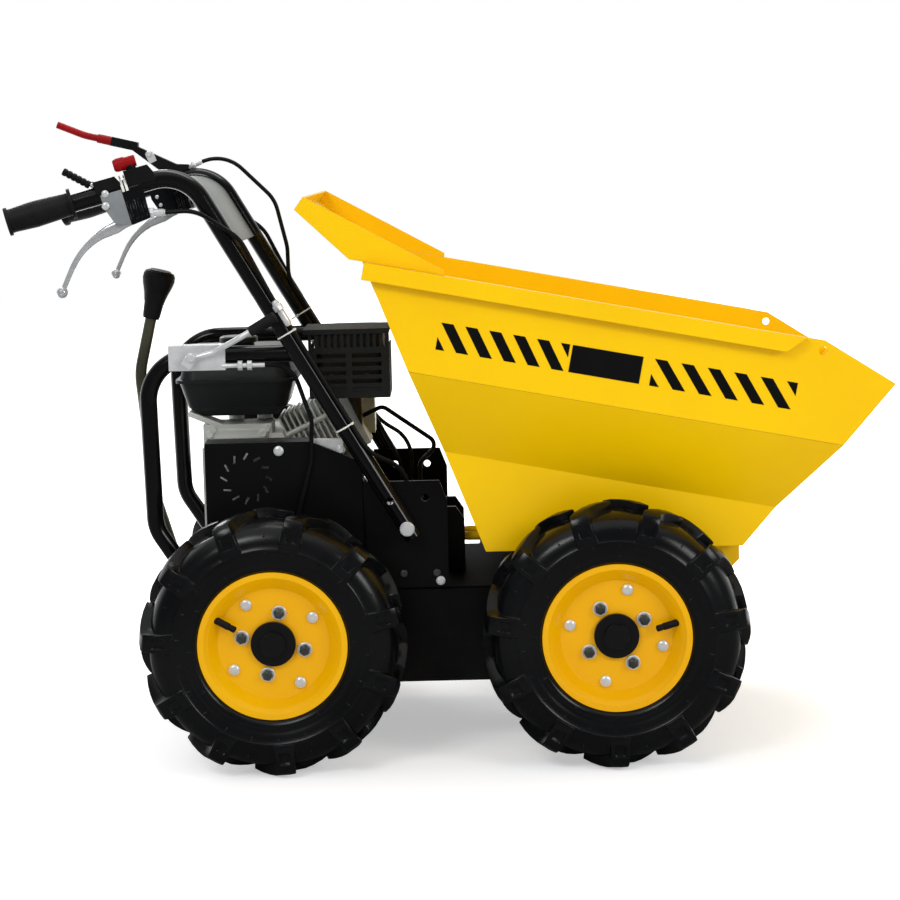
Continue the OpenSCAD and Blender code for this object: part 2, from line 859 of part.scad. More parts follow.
module axle(x) {
  housing = tyre_y - tyre_w / 2 - run_gap * 2;
  tip = tyre_y - rim_w / 2 + disc_depth - run_gap;
  end = tyre_y + rim_w / 2 - disc_depth - run_gap;
  across(x, wheel_z, shaft_d, -end, end);
  both_sides()
    across(x, wheel_z, axle_d, -housing, -box_half - seat);
  both_sides()
    across(x, wheel_z, axle_flange_d, -box_half - seat - hub_t, -box_half - seat);
}

module axles() {
  color([0.16, 0.16, 0.17])
    union() {
      axle(rear_x);
      axle(front_x);
    }
}

module hinge_pin() {
  end = bracket_y + lug_t;
  color([0.6, 0.61, 0.62])
    across(hinge_at[0], hinge_at[1], pin_d, -end, end);
}

module tower_plates() {
  front = tower_front;
  low = box_top + seat;
  outline = [
    [tower_rear, low], [tower_rear, tower_top], [front - tower_corner[0], tower_top],
    [front, tower_top - tower_corner[1]], [front, low]
  ];
  color([0.08, 0.08, 0.09])
    both_sides()
      difference() {
        union() {
          upright(outline, plate_out - tower_t, plate_out);
          block([tower_rear, plate_out - tower_foot, low], [front, plate_out, low + tower_t]);
        }
        across(leg_foot[0], leg_foot[1], bolt_d + seat * 2, plate_out - tower_t - overrun, plate_out + overrun);
        for (x = adjust_at)
          across(x, tower_top - adjust_drop, adjust_d, plate_out - tower_t - overrun, plate_out + overrun);
      }
}

latch_high_share = 0.62;
latch_width_shares = [0.16, 0.46, 0.92];

module latch_bracket() {
  low = box_top + seat;
  tall = tower_top - low;
  wide = skip_heel[0] - tower_front;
  rear = tower_front - wide * latch_width_shares[0];
  outline = [
    [rear, low], [rear, low + tall * latch_high_share],
    [tower_front + wide * latch_width_shares[1] / 2, low + tall * latch_high_share],
    [tower_front + wide * latch_width_shares[1], low + tall / 2],
    [tower_front + wide * latch_width_shares[1], low]
  ];
  y = loop_half + loop_d + run_gap;
  color([0.1, 0.1, 0.11])
    both_sides()
      upright(outline, y, y + lug_t);
}

// Engine

module engine_bed() {
  half = min(guard_y - guard_d / 2 - seat, box_half - box_t * 2);
  low = box_top + seat;
  color([0.1, 0.1, 0.11])
    difference() {
      block([bed_x[0], -half, low], [bed_x[1], half, bed_top]);
      block([bed_x[0] - overrun, -half + box_t, low - overrun], [bed_x[1] + overrun, half - box_t, bed_top - box_t]);
    }
}

module belt_outline(inset) {
  rear = belt_x[0] + inset;
  low = bed_top - inset;
  polygon([
    [rear, low], [rear, belt_z[0] - inset], [belt_x[1], belt_z[0] - inset],
    [belt_front - inset, belt_z[1] - inset], [belt_front - inset, low]
  ]);
}

module belt_guard() {
  out = plate_out - seat - tower_t;
  back = out - belt_depth;
  color([0.07, 0.07, 0.08])
    difference() {
      translate([0, -back, seat])
        rotate([90, 0, 0])
          linear_extrude(belt_depth)
            belt_outline(0);
      translate([0, -back + overrun, seat])
        rotate([90, 0, 0])
          linear_extrude(belt_depth + overrun - belt_t)
            belt_outline(belt_t);
      for (i = [0 : vent_count - 1])
        translate([vent_at[0], -out - overrun, vent_at[1]])
          rotate([0, 360 * i / vent_count, 0])
            translate([vent_r, 0, 0])
              rotate([0, vent_swirl, 0])
                translate([-vent_size[0] / 2, 0, -vent_size[1] / 2])
                  cube([vent_size[0], overrun * 3, vent_size[1]]);
    }
}

// Puts a shape made along Z on the cylinder axis, its X side turned downwards
module on_cylinder(from) {
  translate([cyl_at[0], 0, cyl_at[1]])
    rotate([0, 90 - cyl_tilt, 0])
      translate([0, 0, from])
        children();
}

cyl_mid_share = 0.5;
case_cut_share = 0.12;

module crankcase() {
  mid_y = mid(case_y[0], case_y[1]);
  wide = case_y[1] - case_y[0];
  reach = case_x[1] - case_x[0];
  base = bed_top + seat;
  front = case_x[1] + reach / 4;
  cut = reach * case_cut_share;
  cover_back = mid_y - tank_r;
  color([0.66, 0.67, 0.68])
    union() {
      difference() {
        union() {
          upright(
            [
              [case_x[0], base], [front, base], [front, case_top],
              [case_x[0] + cut, case_top], [case_x[0], case_top - cut]
            ],
            case_y[0], case_y[1]
          );
          block([case_x[0] - foot_h, case_y[0] - foot_h, base], [front, case_y[1], base + foot_h]);
          across(crank[0], crank[1], barrel_d, case_y[0] - foot_h, mid_y);
        }
        on_cylinder(fin_span[0] - seat)
          translate([-reach, case_y[0] - foot_h - overrun, 0])
            cube([reach * 2, wide + foot_h * 2 + overrun * 2, reach]);
      }
      // Cover with its two bolts
      block([cover_x[0], case_y[0], case_top - cut], [cover_x[1], cover_back, case_top + cover_h]);
      for (x = [cover_x[0] + cover_h, cover_x[1] - cover_h / 2])
        across(x, case_top + cover_h / 2, cover_h * 2 / 3, case_y[0] - cover_h / 3, mid_y - tank_r);
      for (x = [case_x[0] + reach / 4, case_x[0] + reach * cyl_mid_share])
        translate([x, mid_y, case_top - overrun])
          cylinder(h = tank_z[0] - seat - case_top + overrun, d = tank_r);
    }
}

module cylinder_fins() {
  mid_y = mid(case_y[0], case_y[1]);
  step = (fin_span[1] - fin_span[0] - fin_t) / (fin_count - 1);
  color([0.62, 0.63, 0.64])
    translate([0, mid_y, 0])
      on_cylinder(fin_span[0])
        union() {
          cylinder(h = fin_span[1] - fin_span[0], d = barrel_d);
          for (i = [0 : fin_count - 1])
            translate([-fin_h / 2, -fin_w / 2, step * i])
              cube([fin_h, fin_w, fin_t]);
          translate([-barrel_d / 2, -barrel_d / 2, fin_span[1] - fin_span[0]])
            cube([barrel_d, barrel_d, head_t]);
          // Tube along the side of the fins
          translate([-fin_h / 4, -fin_w / 2, 0])
            cylinder(h = fin_span[1] - fin_span[0], d = fin_t * 3);
        }
  // Intake between the cylinder head and the air cleaner
  head_at = cyl_at + [cos(cyl_tilt), sin(cyl_tilt)] * (fin_span[1] + head_t / 2);
  color([0.62, 0.63, 0.64])
    block(
      [head_at[0] + head_t / 6, mid_y + barrel_d / 2 + seat, head_at[1] - barrel_d / 3],
      [head_at[0] + head_t * 3 / 2, air_y[1] - tank_r / 3, air_z[0] - seat]
    );
}

// Four round corners of a slab
module corners(x, y, z, r) {
  for (i = [0, 1])
    for (j = [0, 1])
      translate([i == 0 ? x[0] + r : x[1] - r, j == 0 ? y[0] + r : y[1] - r, z[0]])
        cylinder(h = z[1] - z[0], r = r, $fn = 32);
}

// Flat slab with round corners
module slab(x, y, z, r) {
  hull()
    corners(x, y, z, r);
}

// Body whose lower and upper outlines have round corners and differ by an inset at each end
module tapered(x, y, z, r, low_inset, high_inset) {
  thin = seat;
  hull() {
    corners([x[0] + low_inset, x[1] - low_inset], [y[0] + low_inset, y[1] - low_inset], [z[0], z[0] + thin], r - low_inset / 2);
    corners([x[0] + high_inset, x[1] - high_inset], [y[0] + high_inset, y[1] - high_inset], [z[1] - thin, z[1]], r - high_inset / 2);
  }
}

cap_height_shares = [0, 0.5, 0.52, 0.9, 1];
cap_width_shares = [0.82, 0.82, 1, 1, 0.9];

module fuel_tank() {
  in_x = [tank_x[0] + tank_lip, tank_x[1] - tank_lip];
  in_y = [tank_y[0] + tank_lip, tank_y[1] - tank_lip];
  color([0.07, 0.07, 0.08])
    union() {
      tapered(in_x, in_y, [tank_z[0], tank_z[0] + tank_round], tank_r, tank_inset + tank_round, tank_inset);
      tapered(in_x, in_y, [tank_z[0] + tank_round - seat, tank_z[1]], tank_r, tank_inset, 0);
      tapered(in_x, in_y, [tank_z[1] - tank_lip / 2, tank_z[2]], tank_r, 0, tank_inset);
      slab(tank_x, tank_y, [tank_z[1] - tank_lip / 2, tank_z[1] + tank_lip / 2], tank_r);
      translate([mid(tank_x[0], tank_x[1]), mid(tank_y[0], tank_y[1]), tank_z[2] - overrun])
        turned(cap_h + overrun, cap_d / 2, cap_height_shares, cap_width_shares);
    }
}

// Upper edge of the slotted sheet of the muffler guard
function slot_top() = muff_z[1] - top_plate_h - comb_h;
// Distance between the rows of slots
function slot_pitch() = (slot_top() - muff_z[0]) / (slot_rows + 1);

module muffler() {
  gap = muff_gap;
  x = [muff_x[0] + gap, muff_x[1] - gap];
  y = [muff_y[0] + gap, muff_y[1] - seat];
  z = [muff_z[0] + gap, muff_z[1] - gap];
  pitch = slot_pitch();
  mid_y = mid(case_y[0], case_y[1]);
  color([0.3, 0.3, 0.31])
    union() {
      slab(x, y, z, tank_r / 2);
      for (sx = x)
        across(
          sx + (sx == x[0] ? tank_r : -tank_r), muff_z[0] + pitch * 5 / 2, gap,
          muff_y[0] + muff_t + seat, y[0] + gap
        );
      difference() {
        translate([mid(x[0], x[1]), y[1] - barrel_d / 3, crank[1]])
          cylinder(h = z[0] - crank[1] + overrun, d = barrel_d / 3);
        translate([0, mid_y, 0])
          on_cylinder(fin_span[0] - seat)
            translate([-fin_h / 2 - seat, -fin_w / 2 - seat, 0])
              cube([fin_h * 2, fin_w + seat * 2, fin_span[1] - fin_span[0] + head_t + seat * 2]);
        translate([muff_x[0], muff_y[0], box_top])
          cube([muff_x[1] - muff_x[0], muff_y[1] - muff_y[0], crank[1] - box_top + barrel_d / 2]);
      }
    }
}

// Slotted sheet around three sides of the muffler, with a comb that carries the top plate
module muffler_guard() {
  t = muff_t;
  top = slot_top();
  pitch = slot_pitch();
  middle = mid(muff_x[0], muff_x[1]);
  tooth = (muff_x[1] - muff_x[0]) / (comb_count * 2 - 1);
  plate = [muff_x[0] - top_plate_over, muff_y[0] - t];
  color([0.07, 0.07, 0.08])
    union() {
      difference() {
        block([muff_x[0], muff_y[0], muff_z[0]], [muff_x[1], muff_y[1], top]);
        block([muff_x[0] + t, muff_y[0] + t, muff_z[0] - overrun], [muff_x[1] - t, muff_y[1] + overrun, top + overrun]);
        for (i = [1 : slot_rows])
          for (x = [middle - slot_l - muff_gap / 2, middle + muff_gap / 2])
            translate([x, muff_y[0] - overrun, muff_z[0] + pitch * i - slot_h / 2])
              cube([slot_l, overrun * 3, slot_h]);
      }
      for (i = [0 : comb_count - 1])
        translate([muff_x[0] + tooth * i * 2, muff_y[0], top - t])
          cube([tooth, t, comb_h + t * 2]);
      block([plate[0], plate[1], top + comb_h], [muff_x[1], muff_y[1], muff_z[1]]);
    }
}

module air_cleaner() {
  lid = air_z[1] - cap_h;
  color([0.08, 0.08, 0.09])
    union() {
      slab(air_x, air_y, [air_z[0], lid - tank_lip], tank_r);
      slab(
        [air_x[0] + tank_lip, air_x[1] - tank_lip], [air_y[0] + tank_lip, air_y[1] - tank_lip],
        [lid - tank_lip * 2, lid + tank_lip], tank_r
      );
      tapered(air_x, air_y, [lid, air_z[1]], tank_r, 0, tank_inset);
    }
}

recoil_depth_shares = [0, 0.6, 0.74, 0.82, 0.96, 1];
recoil_width_shares = [1, 1, 0.92, 0.62, 0.56, 0.5];
recoil_vents = 10;
recoil_vent_share = 0.4;

module recoil_starter() {
  y = case_y[1] + seat;
  color([0.09, 0.09, 0.1])
    translate([crank[0], y, crank[1]])
      rotate([-90, 0, 0])
        difference() {
          turned(recoil_l, recoil_d / 2, recoil_depth_shares, recoil_width_shares);
          for (i = [0 : recoil_vents - 1])
            rotate([0, 0, 360 * i / recoil_vents])
              translate([recoil_d * recoil_vent_share, 0, recoil_l])
                cylinder(h = recoil_l, d = recoil_d / recoil_vents, center = true);
        }
}

// Handle and guard tubes

module handle_leg(s, d) {
  foot = leg_foot - leg_dir * leg_past;
  bent_pipe(
    [[foot[0], s * leg_y, foot[1]], [leg_head[0], s * leg_y, leg_head[1]], [bar_end[0], s * bar_end[1], bar_end[2]]],
    d, leg_bend
  );
}

// Straight part of the bar, thick enough to cut a seat for what is clamped on it
module bar_space(s) {
  rod([leg_head[0], s * leg_y, leg_head[1]], [bar_end[0], s * bar_end[1], bar_end[2]], tube_d + seat * 2);
}

module leg_space(s) {
  foot = leg_foot - leg_dir * leg_past;
  rod([foot[0], s * leg_y, foot[1]], [leg_head[0], s * leg_y, leg_head[1]], tube_d + seat * 2);
}

module handlebars() {
  color([0.08, 0.08, 0.09])
    for (s = [-1, 1])
      difference() {
        handle_leg(s, tube_d);
        across(leg_foot[0], leg_foot[1], bolt_d + seat * 2, s * leg_y - tube_d, s * leg_y + tube_d);
        across(leg_x(tower_top - adjust_drop), tower_top - adjust_drop, adjust_d, s * leg_y - tube_d, s * leg_y + tube_d);
      }
}

module handle_bolts() {
  out = leg_y + tube_r + seat;
  inside = -plate_out + tower_t + seat;
  hex = bolt_head_d - washer_t;
  color([0.75, 0.76, 0.77])
    both_sides()
      union() {
        across(leg_foot[0], leg_foot[1], bolt_d, -out - washer_t, inside + bolt_head_t * 3 / 2);
        across(leg_foot[0], leg_foot[1], bolt_head_d, -out - washer_t, -out);
        across(leg_foot[0], leg_foot[1], hex, -out - washer_t - bolt_head_t, -out - washer_t / 2, $fn = 6);
        across(leg_foot[0], leg_foot[1], hex, inside, inside + bolt_head_t, $fn = 6);
      }
}

// Guard tube on one side, drawn with any diameter
module guard_tube(d) {
  front = leg_x(guard_shoulder[1]);
  route = [
    [guard_foot[0], -guard_y, guard_foot[1]], [guard_knee[0], -guard_y, guard_knee[1]],
    [guard_shoulder[0], -guard_y, guard_shoulder[1]], [front, -guard_y, guard_shoulder[1]]
  ];
  rise = unit(route[2] - route[1]);
  cut_knee = bend_short(route[0], route[1], route[2], knee_bend);
  cut_shoulder = bend_short(route[1], route[2], route[3], shoulder_bend);
  halfway = route[1] + rise * (cut_knee + norm(route[2] - route[1]) - cut_shoulder) / 2;
  bent_pipe([route[0], route[1], halfway + rise * bend_core], d, knee_bend);
  bent_pipe([halfway, route[2], route[3]], d, shoulder_bend);
}

module guard_tubes() {
  color([0.08, 0.08, 0.09])
    both_sides()
      difference() {
        guard_tube(guard_d);
        leg_space(-1);
      }
}

// Sheet bent like the handle, set between its tubes
module dash_plate() {
  half = leg_y - tube_r - seat;
  down = -leg_dir;
  back = unit([bar_dir[0], bar_dir[1]]);
  turn = acos(back * leg_dir);
  short = leg_bend * tan(turn / 2);
  low = leg_head + down * (short + dash_run[1]);
  low_start = leg_head + down * short;
  high_start = leg_head + back * short;
  high = leg_head + back * (short + dash_run[0]);
  centre = low_start + left_of(leg_dir) * leg_bend;
  g = bend_groove;
  core = bend_core;
  color([0.78, 0.79, 0.77])
    union() {
      sheet(low, low_start + down * g, dash_t, half);
      sheet(low_start + down * core, low_start - down * core, dash_t * core_share, half);
      sheet(high, high_start + back * g, dash_t, half);
      sheet(high_start + back * core, high_start - back * core, dash_t * core_share, half);
      translate([centre[0], half, centre[1]])
        rotate([90, 0, 0])
          rotate([0, 0, atan2(low_start[1] - centre[1], low_start[0] - centre[0])])
            rotate_extrude(angle = turn)
              translate([leg_bend - dash_t / 2, 0])
                square([dash_t, half * 2]);
    }
}

// Flat sheet between two places in the X Z plane
module sheet(from, to, t, half) {
  n = left_of(to - from) * t / 2;
  upright([from + n, to + n, to - n, from - n], -half, half);
}

grip_length_shares = [0, 0.12, 0.32, 0.58, 0.78, 0.9, 1];
grip_width_shares = [0.94, 0.94, 1, 1.06, 1, 0.96, 1];
grip_end_share = 1.14;

module grips() {
  color([0.11, 0.11, 0.12])
    for (s = [-1, 1]) {
      end = [bar_end[0], s * bar_end[1], bar_end[2]];
      back = unit(end - [leg_head[0], s * leg_y, leg_head[1]]);
      cap = end + back * (grip_flange_t + seat);
      inner = cap - back * grip_l;
      difference() {
        union() {
          along(inner, cap)
            turned(grip_l, grip_d / 2, grip_length_shares, grip_width_shares);
          rod(inner, inner + back * grip_flange_t, grip_flange_d);
          rod(cap - back * grip_flange_t, cap, grip_d * grip_end_share);
        }
        rod(inner - back * overrun, end + back * seat, tube_d + seat * 2);
      }
    }
}

// Controls

// Turns a shape made along X so that it lies on the bar at a place along the machine
module on_bar(s, x) {
  flat = [leg_head[0] - bar_end[0], bar_end[1] - leg_y];
  translate([x, s * bar_y(x), bar_z(x)])
    rotate([0, 0, -s * atan2(flat[1], flat[0])])
      rotate([0, -atan2(leg_head[1] - bar_end[2], norm(flat)), 0])
        children();
}

housing_length_shares = [-0.5, 0.5, 0.46, 0.04, -0.36, -0.5];
housing_depth_shares = [0, 0, -0.95, -1, -0.84, -0.36];
housing_ribs = 4;

// Forward step of the lever and housing on one side
function lever_step(s) = s > 0 ? -unit(bar_dir) * housing_shift : [0, 0];
// Place of the outer cable's barrel on one side, along and up
function barrel_at(s) = [lever_root[0], lever_root[1] + lever_d * 6 / 5] + lever_step(s);
function lever_y(s) = s * bar_y(housing_x);

// Cast housing with a ribbed front half and the barrel that holds the outer cable
module lever_housing(s) {
  rib = housing_size[0] / 2 / (housing_ribs * 2);
  barrel = barrel_at(s);
  x = housing_x + lever_step(s)[0];
  on_bar(s, x) {
    translate([0, housing_w / 2, 0])
      rotate([90, 0, 0])
        linear_extrude(housing_w)
          polygon([for (i = [0 : 5]) [
            housing_size[0] * housing_length_shares[i], housing_size[1] * housing_depth_shares[i]
          ]]);
    for (i = [0 : housing_ribs - 1])
      translate([rib * (i * 2 + 1 / 2), -housing_w / 2 - rib / 2, -housing_size[1] * core_share])
        cube([rib, housing_w + rib, housing_size[1] / 2]);
  }
  rod([barrel[0], lever_y(s), barrel[1]], [barrel[0] + housing_size[0] * 2 / 3, lever_y(s), barrel[1]], adjuster_d);
}

// Straight root of a lever
module lever_stem(s, d) {
  root = lever_root + lever_step(s);
  elbow = lever_elbow + lever_step(s);
  rod([root[0], lever_y(s), root[1]], [elbow[0], lever_y(s), elbow[1]], d);
}

module lever_housings() {
  color([0.35, 0.36, 0.37])
    for (s = [-1, 1])
      difference() {
        lever_housing(s);
        bar_space(s);
        lever_stem(s, lever_d + seat * 2);
      }
}

module steering_levers() {
  color([0.8, 0.81, 0.82])
    for (s = [-1, 1]) {
      y = lever_y(s);
      root = lever_root + lever_step(s) - unit(lever_root - lever_elbow) * seat;
      elbow = lever_elbow + lever_step(s);
      ball = lever_ball + lever_step(s);
      union() {
        bent_pipe([[root[0], y, root[1]], [elbow[0], y, elbow[1]], [ball[0], y, ball[1]]], lever_d, lever_bend);
        translate([ball[0], y, ball[1]])
          sphere(d = ball_d);
      }
    }
}

dead_root_share = 1.3;
// Corner in the red lever before it is rounded
function dead_bow() = mid(dead_tip, dead_elbow) - [0, dead_d / 3];

base_length_shares = [-0.5, 0.5, 0.5, 0.36, -0.5];
base_height_shares = [0, 0, 0.5, 1, 1];

// Base that sits on top of the bar, its front end sloped
module clamp_base(s, x, size) {
  difference() {
    on_bar(s, x)
      translate([0, size[1] / 2, seat])
        rotate([90, 0, 0])
          linear_extrude(size[1])
            polygon([for (i = [0 : 4]) [size[0] * base_length_shares[i], (size[2] - seat) * base_height_shares[i]]]);
    bar_space(s);
  }
}

module control_bases() {
  y = bar_y(dead_foot);
  half = dead_d * dead_root_share / 2;
  // The arm starts square to the end of the red lever
  outward = unit(dead_bow() - dead_elbow);
  low = dead_elbow - outward * seat;
  side = left_of(outward) * half;
  high = dead_pivot + [dead_h / 2, -dead_h / 4];
  color([0.1, 0.1, 0.11]) {
    upright(
      [low + side, low - side, high + [0, half], high - [0, half]],
      y - half, y + half
    );
    difference() {
      upright(
        [
          [dead_pivot[0], dead_pivot[1] - dead_h / 2], [dead_pivot[0], dead_pivot[1]],
          [dead_foot, bar_z(dead_foot) + tube_d], [dead_foot + dead_w, bar_z(dead_foot + dead_w) + tube_d * 3 / 4],
          [dead_foot + dead_w, bar_z(dead_foot + dead_w) + tube_r / 2],
          [dead_foot - dead_w / 2, bar_z(dead_foot - dead_w / 2) + tube_r / 2]
        ],
        y - dead_w / 2, y + dead_w / 2
      );
      bar_space(1);
    }
    clamp_base(-1, switch_x, switch_size);
    clamp_base(-1, throttle_x, throttle_size);
  }
}

module dead_lever() {
  y = bar_y(dead_foot);
  tip = [dead_tip[0], y, dead_tip[1]];
  elbow = [dead_elbow[0], y, dead_elbow[1]];
  bow = [dead_bow()[0], y, dead_bow()[1]];
  color([0.8, 0.05, 0.08])
    union() {
      bent_pipe([tip, bow, elbow], dead_d, dead_d * 8);
      rod(elbow + unit(bow - elbow) * dead_d * 2, elbow, dead_d * dead_root_share);
    }
}

button_length_shares = [0, 0.06, 0.16, 0.5, 0.52, 0.94, 1];
button_width_shares = [0.7, 0.9, 1, 1, 0.86, 0.86, 0.8];

// Red knob that lies on its base, its round end to the rear
module stop_button() {
  color([0.8, 0.05, 0.08])
    on_bar(-1, switch_x)
      translate([-switch_size[0] / 2 - button_size[0] / 3, 0, switch_size[2] + seat + button_size[1] / 2])
        rotate([0, 90, 0])
          turned(button_size[0], button_size[1] / 2, button_length_shares, button_width_shares);
}

tab_ribs = 6;
tab_core_share = 0.78;

module throttle_tab() {
  r = tab_size[1] / 2;
  step = tab_size[0] / tab_ribs;
  ribs = [for (i = [0 : tab_ribs - 1]) each [
    [r * tab_core_share, step * i], [r, step * (i + 1 / 4)], [r, step * (i + 3 / 4)]
  ]];
  color([0.08, 0.08, 0.09])
    on_bar(-1, throttle_x)
      translate([-throttle_size[0] / 2 - seat - r * sin(tab_tilt), 0, tube_r + seat + r * cos(tab_tilt)])
        rotate([0, tab_tilt - 90, 0])
          rotate_extrude()
            polygon(concat([[0, 0]], ribs, [[r * tab_core_share, tab_size[0]], [0, tab_size[0]]]));
}

// Folded strap over the guard tube, with the threaded stop of the brake cable
module brake_clamp() {
  z = guard_shoulder[1];
  half = guard_d / 2 + clamp_t;
  low = z - half - clamp_t * 2;
  y = -guard_y - guard_d / 2 - clamp_t / 2;
  end = [brake_stop[0], y, brake_stop[1]];
  start = [clamp_x[1] - clamp_t * 2, y, brake_stop[1]];
  back = unit(start - end);
  color([0.78, 0.79, 0.8])
    union() {
      difference() {
        block([clamp_x[0], -guard_y - half, low], [clamp_x[1], -guard_y + half, z + half]);
        guard_tube(guard_d + seat * 2);
        block(
          [clamp_x[0] - overrun, -guard_y - half + clamp_t, low - overrun],
          [clamp_x[1] + overrun, -guard_y + half - clamp_t, z - guard_d / 3]
        );
      }
      rod(start, end, cable_d);
      for (f = nut_shares) {
        at = end + (start - end) * f;
        rod(at, at + back * cable_d, adjuster_d * 3 / 2, $fn = 6);
      }
    }
}
nut_shares = [0.3, 0.52];

function brake_in() = guard_y + guard_d / 2 + clamp_t + seat + brake_d / 2;
function brake_out() = leg_y + tube_r + sleeve_gap + sleeve_d / 2;

module brake_lever() {
  y = [-brake_in(), -brake_in(), -brake_out(), -brake_out()];
  color([0.8, 0.81, 0.82])
    bent_pipe([for (i = [0 : 3]) [brake_x[i], y[i], brake_z[i]]], brake_d, brake_d * 2);
}

sleeve_length_shares = [0, 0.03, 0.5, 0.94, 1];
sleeve_width_shares = [0.8, 0.86, 0.92, 1, 0.8];

module brake_sleeve() {
  a = [brake_x[2], -brake_out(), brake_z[2]];
  b = [brake_x[3], -brake_out(), brake_z[3]];
  v = unit(b - a);
  color([0.1, 0.1, 0.11])
    difference() {
      along(a + v * brake_d * 2, b)
        turned(norm(b - a) - brake_d, sleeve_d / 2, sleeve_length_shares, sleeve_width_shares);
      rod(a, b + v * seat, brake_d + seat * 2);
    }
}

// Direction of the upper part of the gear lever
function gear_rise() = unit([gear_x[0] - gear_x[1], 0, gear_z[0] - gear_z[1]]);

module gear_lever() {
  y = gear_y;
  neck = [gear_x[0], y, gear_z[0]];
  color([0.4, 0.4, 0.34])
    difference() {
      bent_pipe(
        [
          neck + gear_rise() * knob_l / 4, [gear_x[1], y, gear_z[1]],
          [gear_x[2], y, gear_z[2]], [gear_x[3], y, box_top - gear_d]
        ],
        gear_d, gear_bend
      );
      block([gear_x[3] - gear_d * 3, y - gear_d, box_low], [gear_x[3] + gear_d * 3, y + gear_d, box_top + seat]);
    }
}

knob_height_shares = [0, 0.06, 0.3, 0.52, 0.7, 0.82, 0.92, 0.98, 1];
knob_width_shares = [0.5, 0.54, 0.6, 0.74, 0.92, 1, 0.98, 0.88, 0.7];

module gear_knob() {
  neck = [gear_x[0], gear_y, gear_z[0]];
  up = gear_rise();
  color([0.1, 0.1, 0.11])
    difference() {
      along(neck, neck + up)
        turned(knob_l, knob_d / 2, knob_height_shares, knob_width_shares);
      rod(neck - up * overrun, neck + up * (knob_l / 4 + seat), gear_d + seat * 2);
    }
}

// Place beside a handle leg, a share of the tube's clearance forward of it and the rest outwards
function beside_leg(s, z, forward, outward) = [
  leg_x(z) - left_of(leg_dir)[0] * forward, s * (leg_y + outward), z - left_of(leg_dir)[1] * forward
];

cable_bend_share = 9;
// Routes of the outer cables between their ends, chosen by eye
lever_route = [[-365, 235, 866], [-300, 232, 822]];
dead_route = [[-362, 226, 954], [-278, 216, 872], [-258, 205, 790]];
deck_route = [[-50, 190, 452], [-55, 178, 384]];
dead_drop = [-70, 176, 412];
brake_route = [[-228, -213, 624], [-200, -203, 535], [-203, -201, 470], [-226, -201, 385], [-228, -201, 322], [-228, -191, 296]];
hose_route = [[-95, -10, 534], [-4, -14, 470], [-36, -14, 440]];

module control_cables() {
  off = (tube_r + cable_d / 2 + seat) / sqrt(2);
  floor_z = box_top + seat;
  bend = cable_d * cable_bend_share;
  high = leg_head[1] - leg_bend * 3;
  low = tower_top + tube_d * 3 / 2;
  color([0.06, 0.06, 0.07]) {
    for (s = [-1, 1]) {
      barrel = barrel_at(s);
      start = [barrel[0] + housing_size[0] * 2 / 3 + seat + cable_d / 8, lever_y(s), barrel[1]];
      down = [for (p = deck_route) [p[0], s * p[1], p[2]]];
      bent_pipe(
        concat(
          [start], [for (p = lever_route) [p[0], s * p[1], p[2]]],
          [beside_leg(s, high, off, off), beside_leg(s, low, off, off)], down, [[down[1][0], down[1][1], floor_z]]
        ),
        cable_d, bend
      );
    }
    foot = dead_foot + dead_w;
    bent_pipe(
      concat(
        [[foot + seat + cable_d / 4, bar_y(dead_foot), bar_z(foot) + tube_d * 5 / 8]], dead_route,
        [beside_leg(1, high, off, -off), beside_leg(1, low, off, -off)],
        [dead_drop, [dead_drop[0], dead_drop[1], floor_z]]
      ),
      cable_d, bend
    );
    end = brake_route[len(brake_route) - 1];
    bent_pipe(
      concat(
        [[brake_stop[0] + seat, -guard_y - guard_d / 2 - clamp_t / 2, brake_stop[1]]], brake_route,
        [[end[0], end[1], floor_z]]
      ),
      cable_d, bend * 2 / 3
    );
    hose_start = cyl_at + [cos(cyl_tilt), sin(cyl_tilt)] * (fin_span[1] + head_t + seat);
    drop = hose_route[len(hose_route) - 1];
    bent_pipe(
      concat([[hose_start[0], hose_route[0][1], hose_start[1]]], hose_route, [[drop[0], drop[1], floor_z]]),
      cable_d, cable_d * 2
    );
  }
}

placed() wheel_at(front_x, false) tyre(tread_turn[0]);  // front_right_tyre
placed() wheel_at(front_x, false) rim();  // front_right_rim
placed() wheel_at(front_x, false) hub();  // front_right_hub
placed() wheel_at(front_x, true) tyre(tread_turn[1]);  // front_left_tyre
placed() wheel_at(front_x, true) rim();  // front_left_rim
placed() wheel_at(front_x, true) hub();  // front_left_hub
placed() wheel_at(rear_x, false) tyre(tread_turn[2]);  // rear_right_tyre
placed() wheel_at(rear_x, false) rim();  // rear_right_rim
placed() wheel_at(rear_x, false) hub();  // rear_right_hub
placed() wheel_at(rear_x, true) tyre(tread_turn[3]);  // rear_left_tyre
placed() wheel_at(rear_x, true) rim();  // rear_left_rim
placed() wheel_at(rear_x, true) hub();  // rear_left_hub
placed() skip_sides();
placed() skip_flanks();
placed() skip_pan();
placed() skip_hood();
placed() skip_brackets();
placed() skip_loop();
placed() chassis_pan();
placed() chassis_deck();
placed() gearbox();
placed() axles();
placed() hinge_pin();
placed() tower_plates();
placed() latch_bracket();
placed() engine_bed();
placed() belt_guard();
placed() crankcase();
placed() cylinder_fins();  // cylinder
placed() fuel_tank();
placed() muffler();
placed() muffler_guard();
placed() air_cleaner();
placed() recoil_starter();
placed() guard_tubes();
placed() handlebars();
placed() handle_bolts();
placed() dash_plate();
placed() grips();
placed() lever_housings();
placed() steering_levers();
placed() control_bases();
placed() dead_lever();
placed() stop_button();
placed() throttle_tab();
placed() brake_clamp();
placed() brake_lever();
placed() brake_sleeve();
placed() gear_lever();
placed() gear_knob();
placed() control_cables();
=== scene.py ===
import json
import math

import bpy
from mathutils import Matrix, Vector


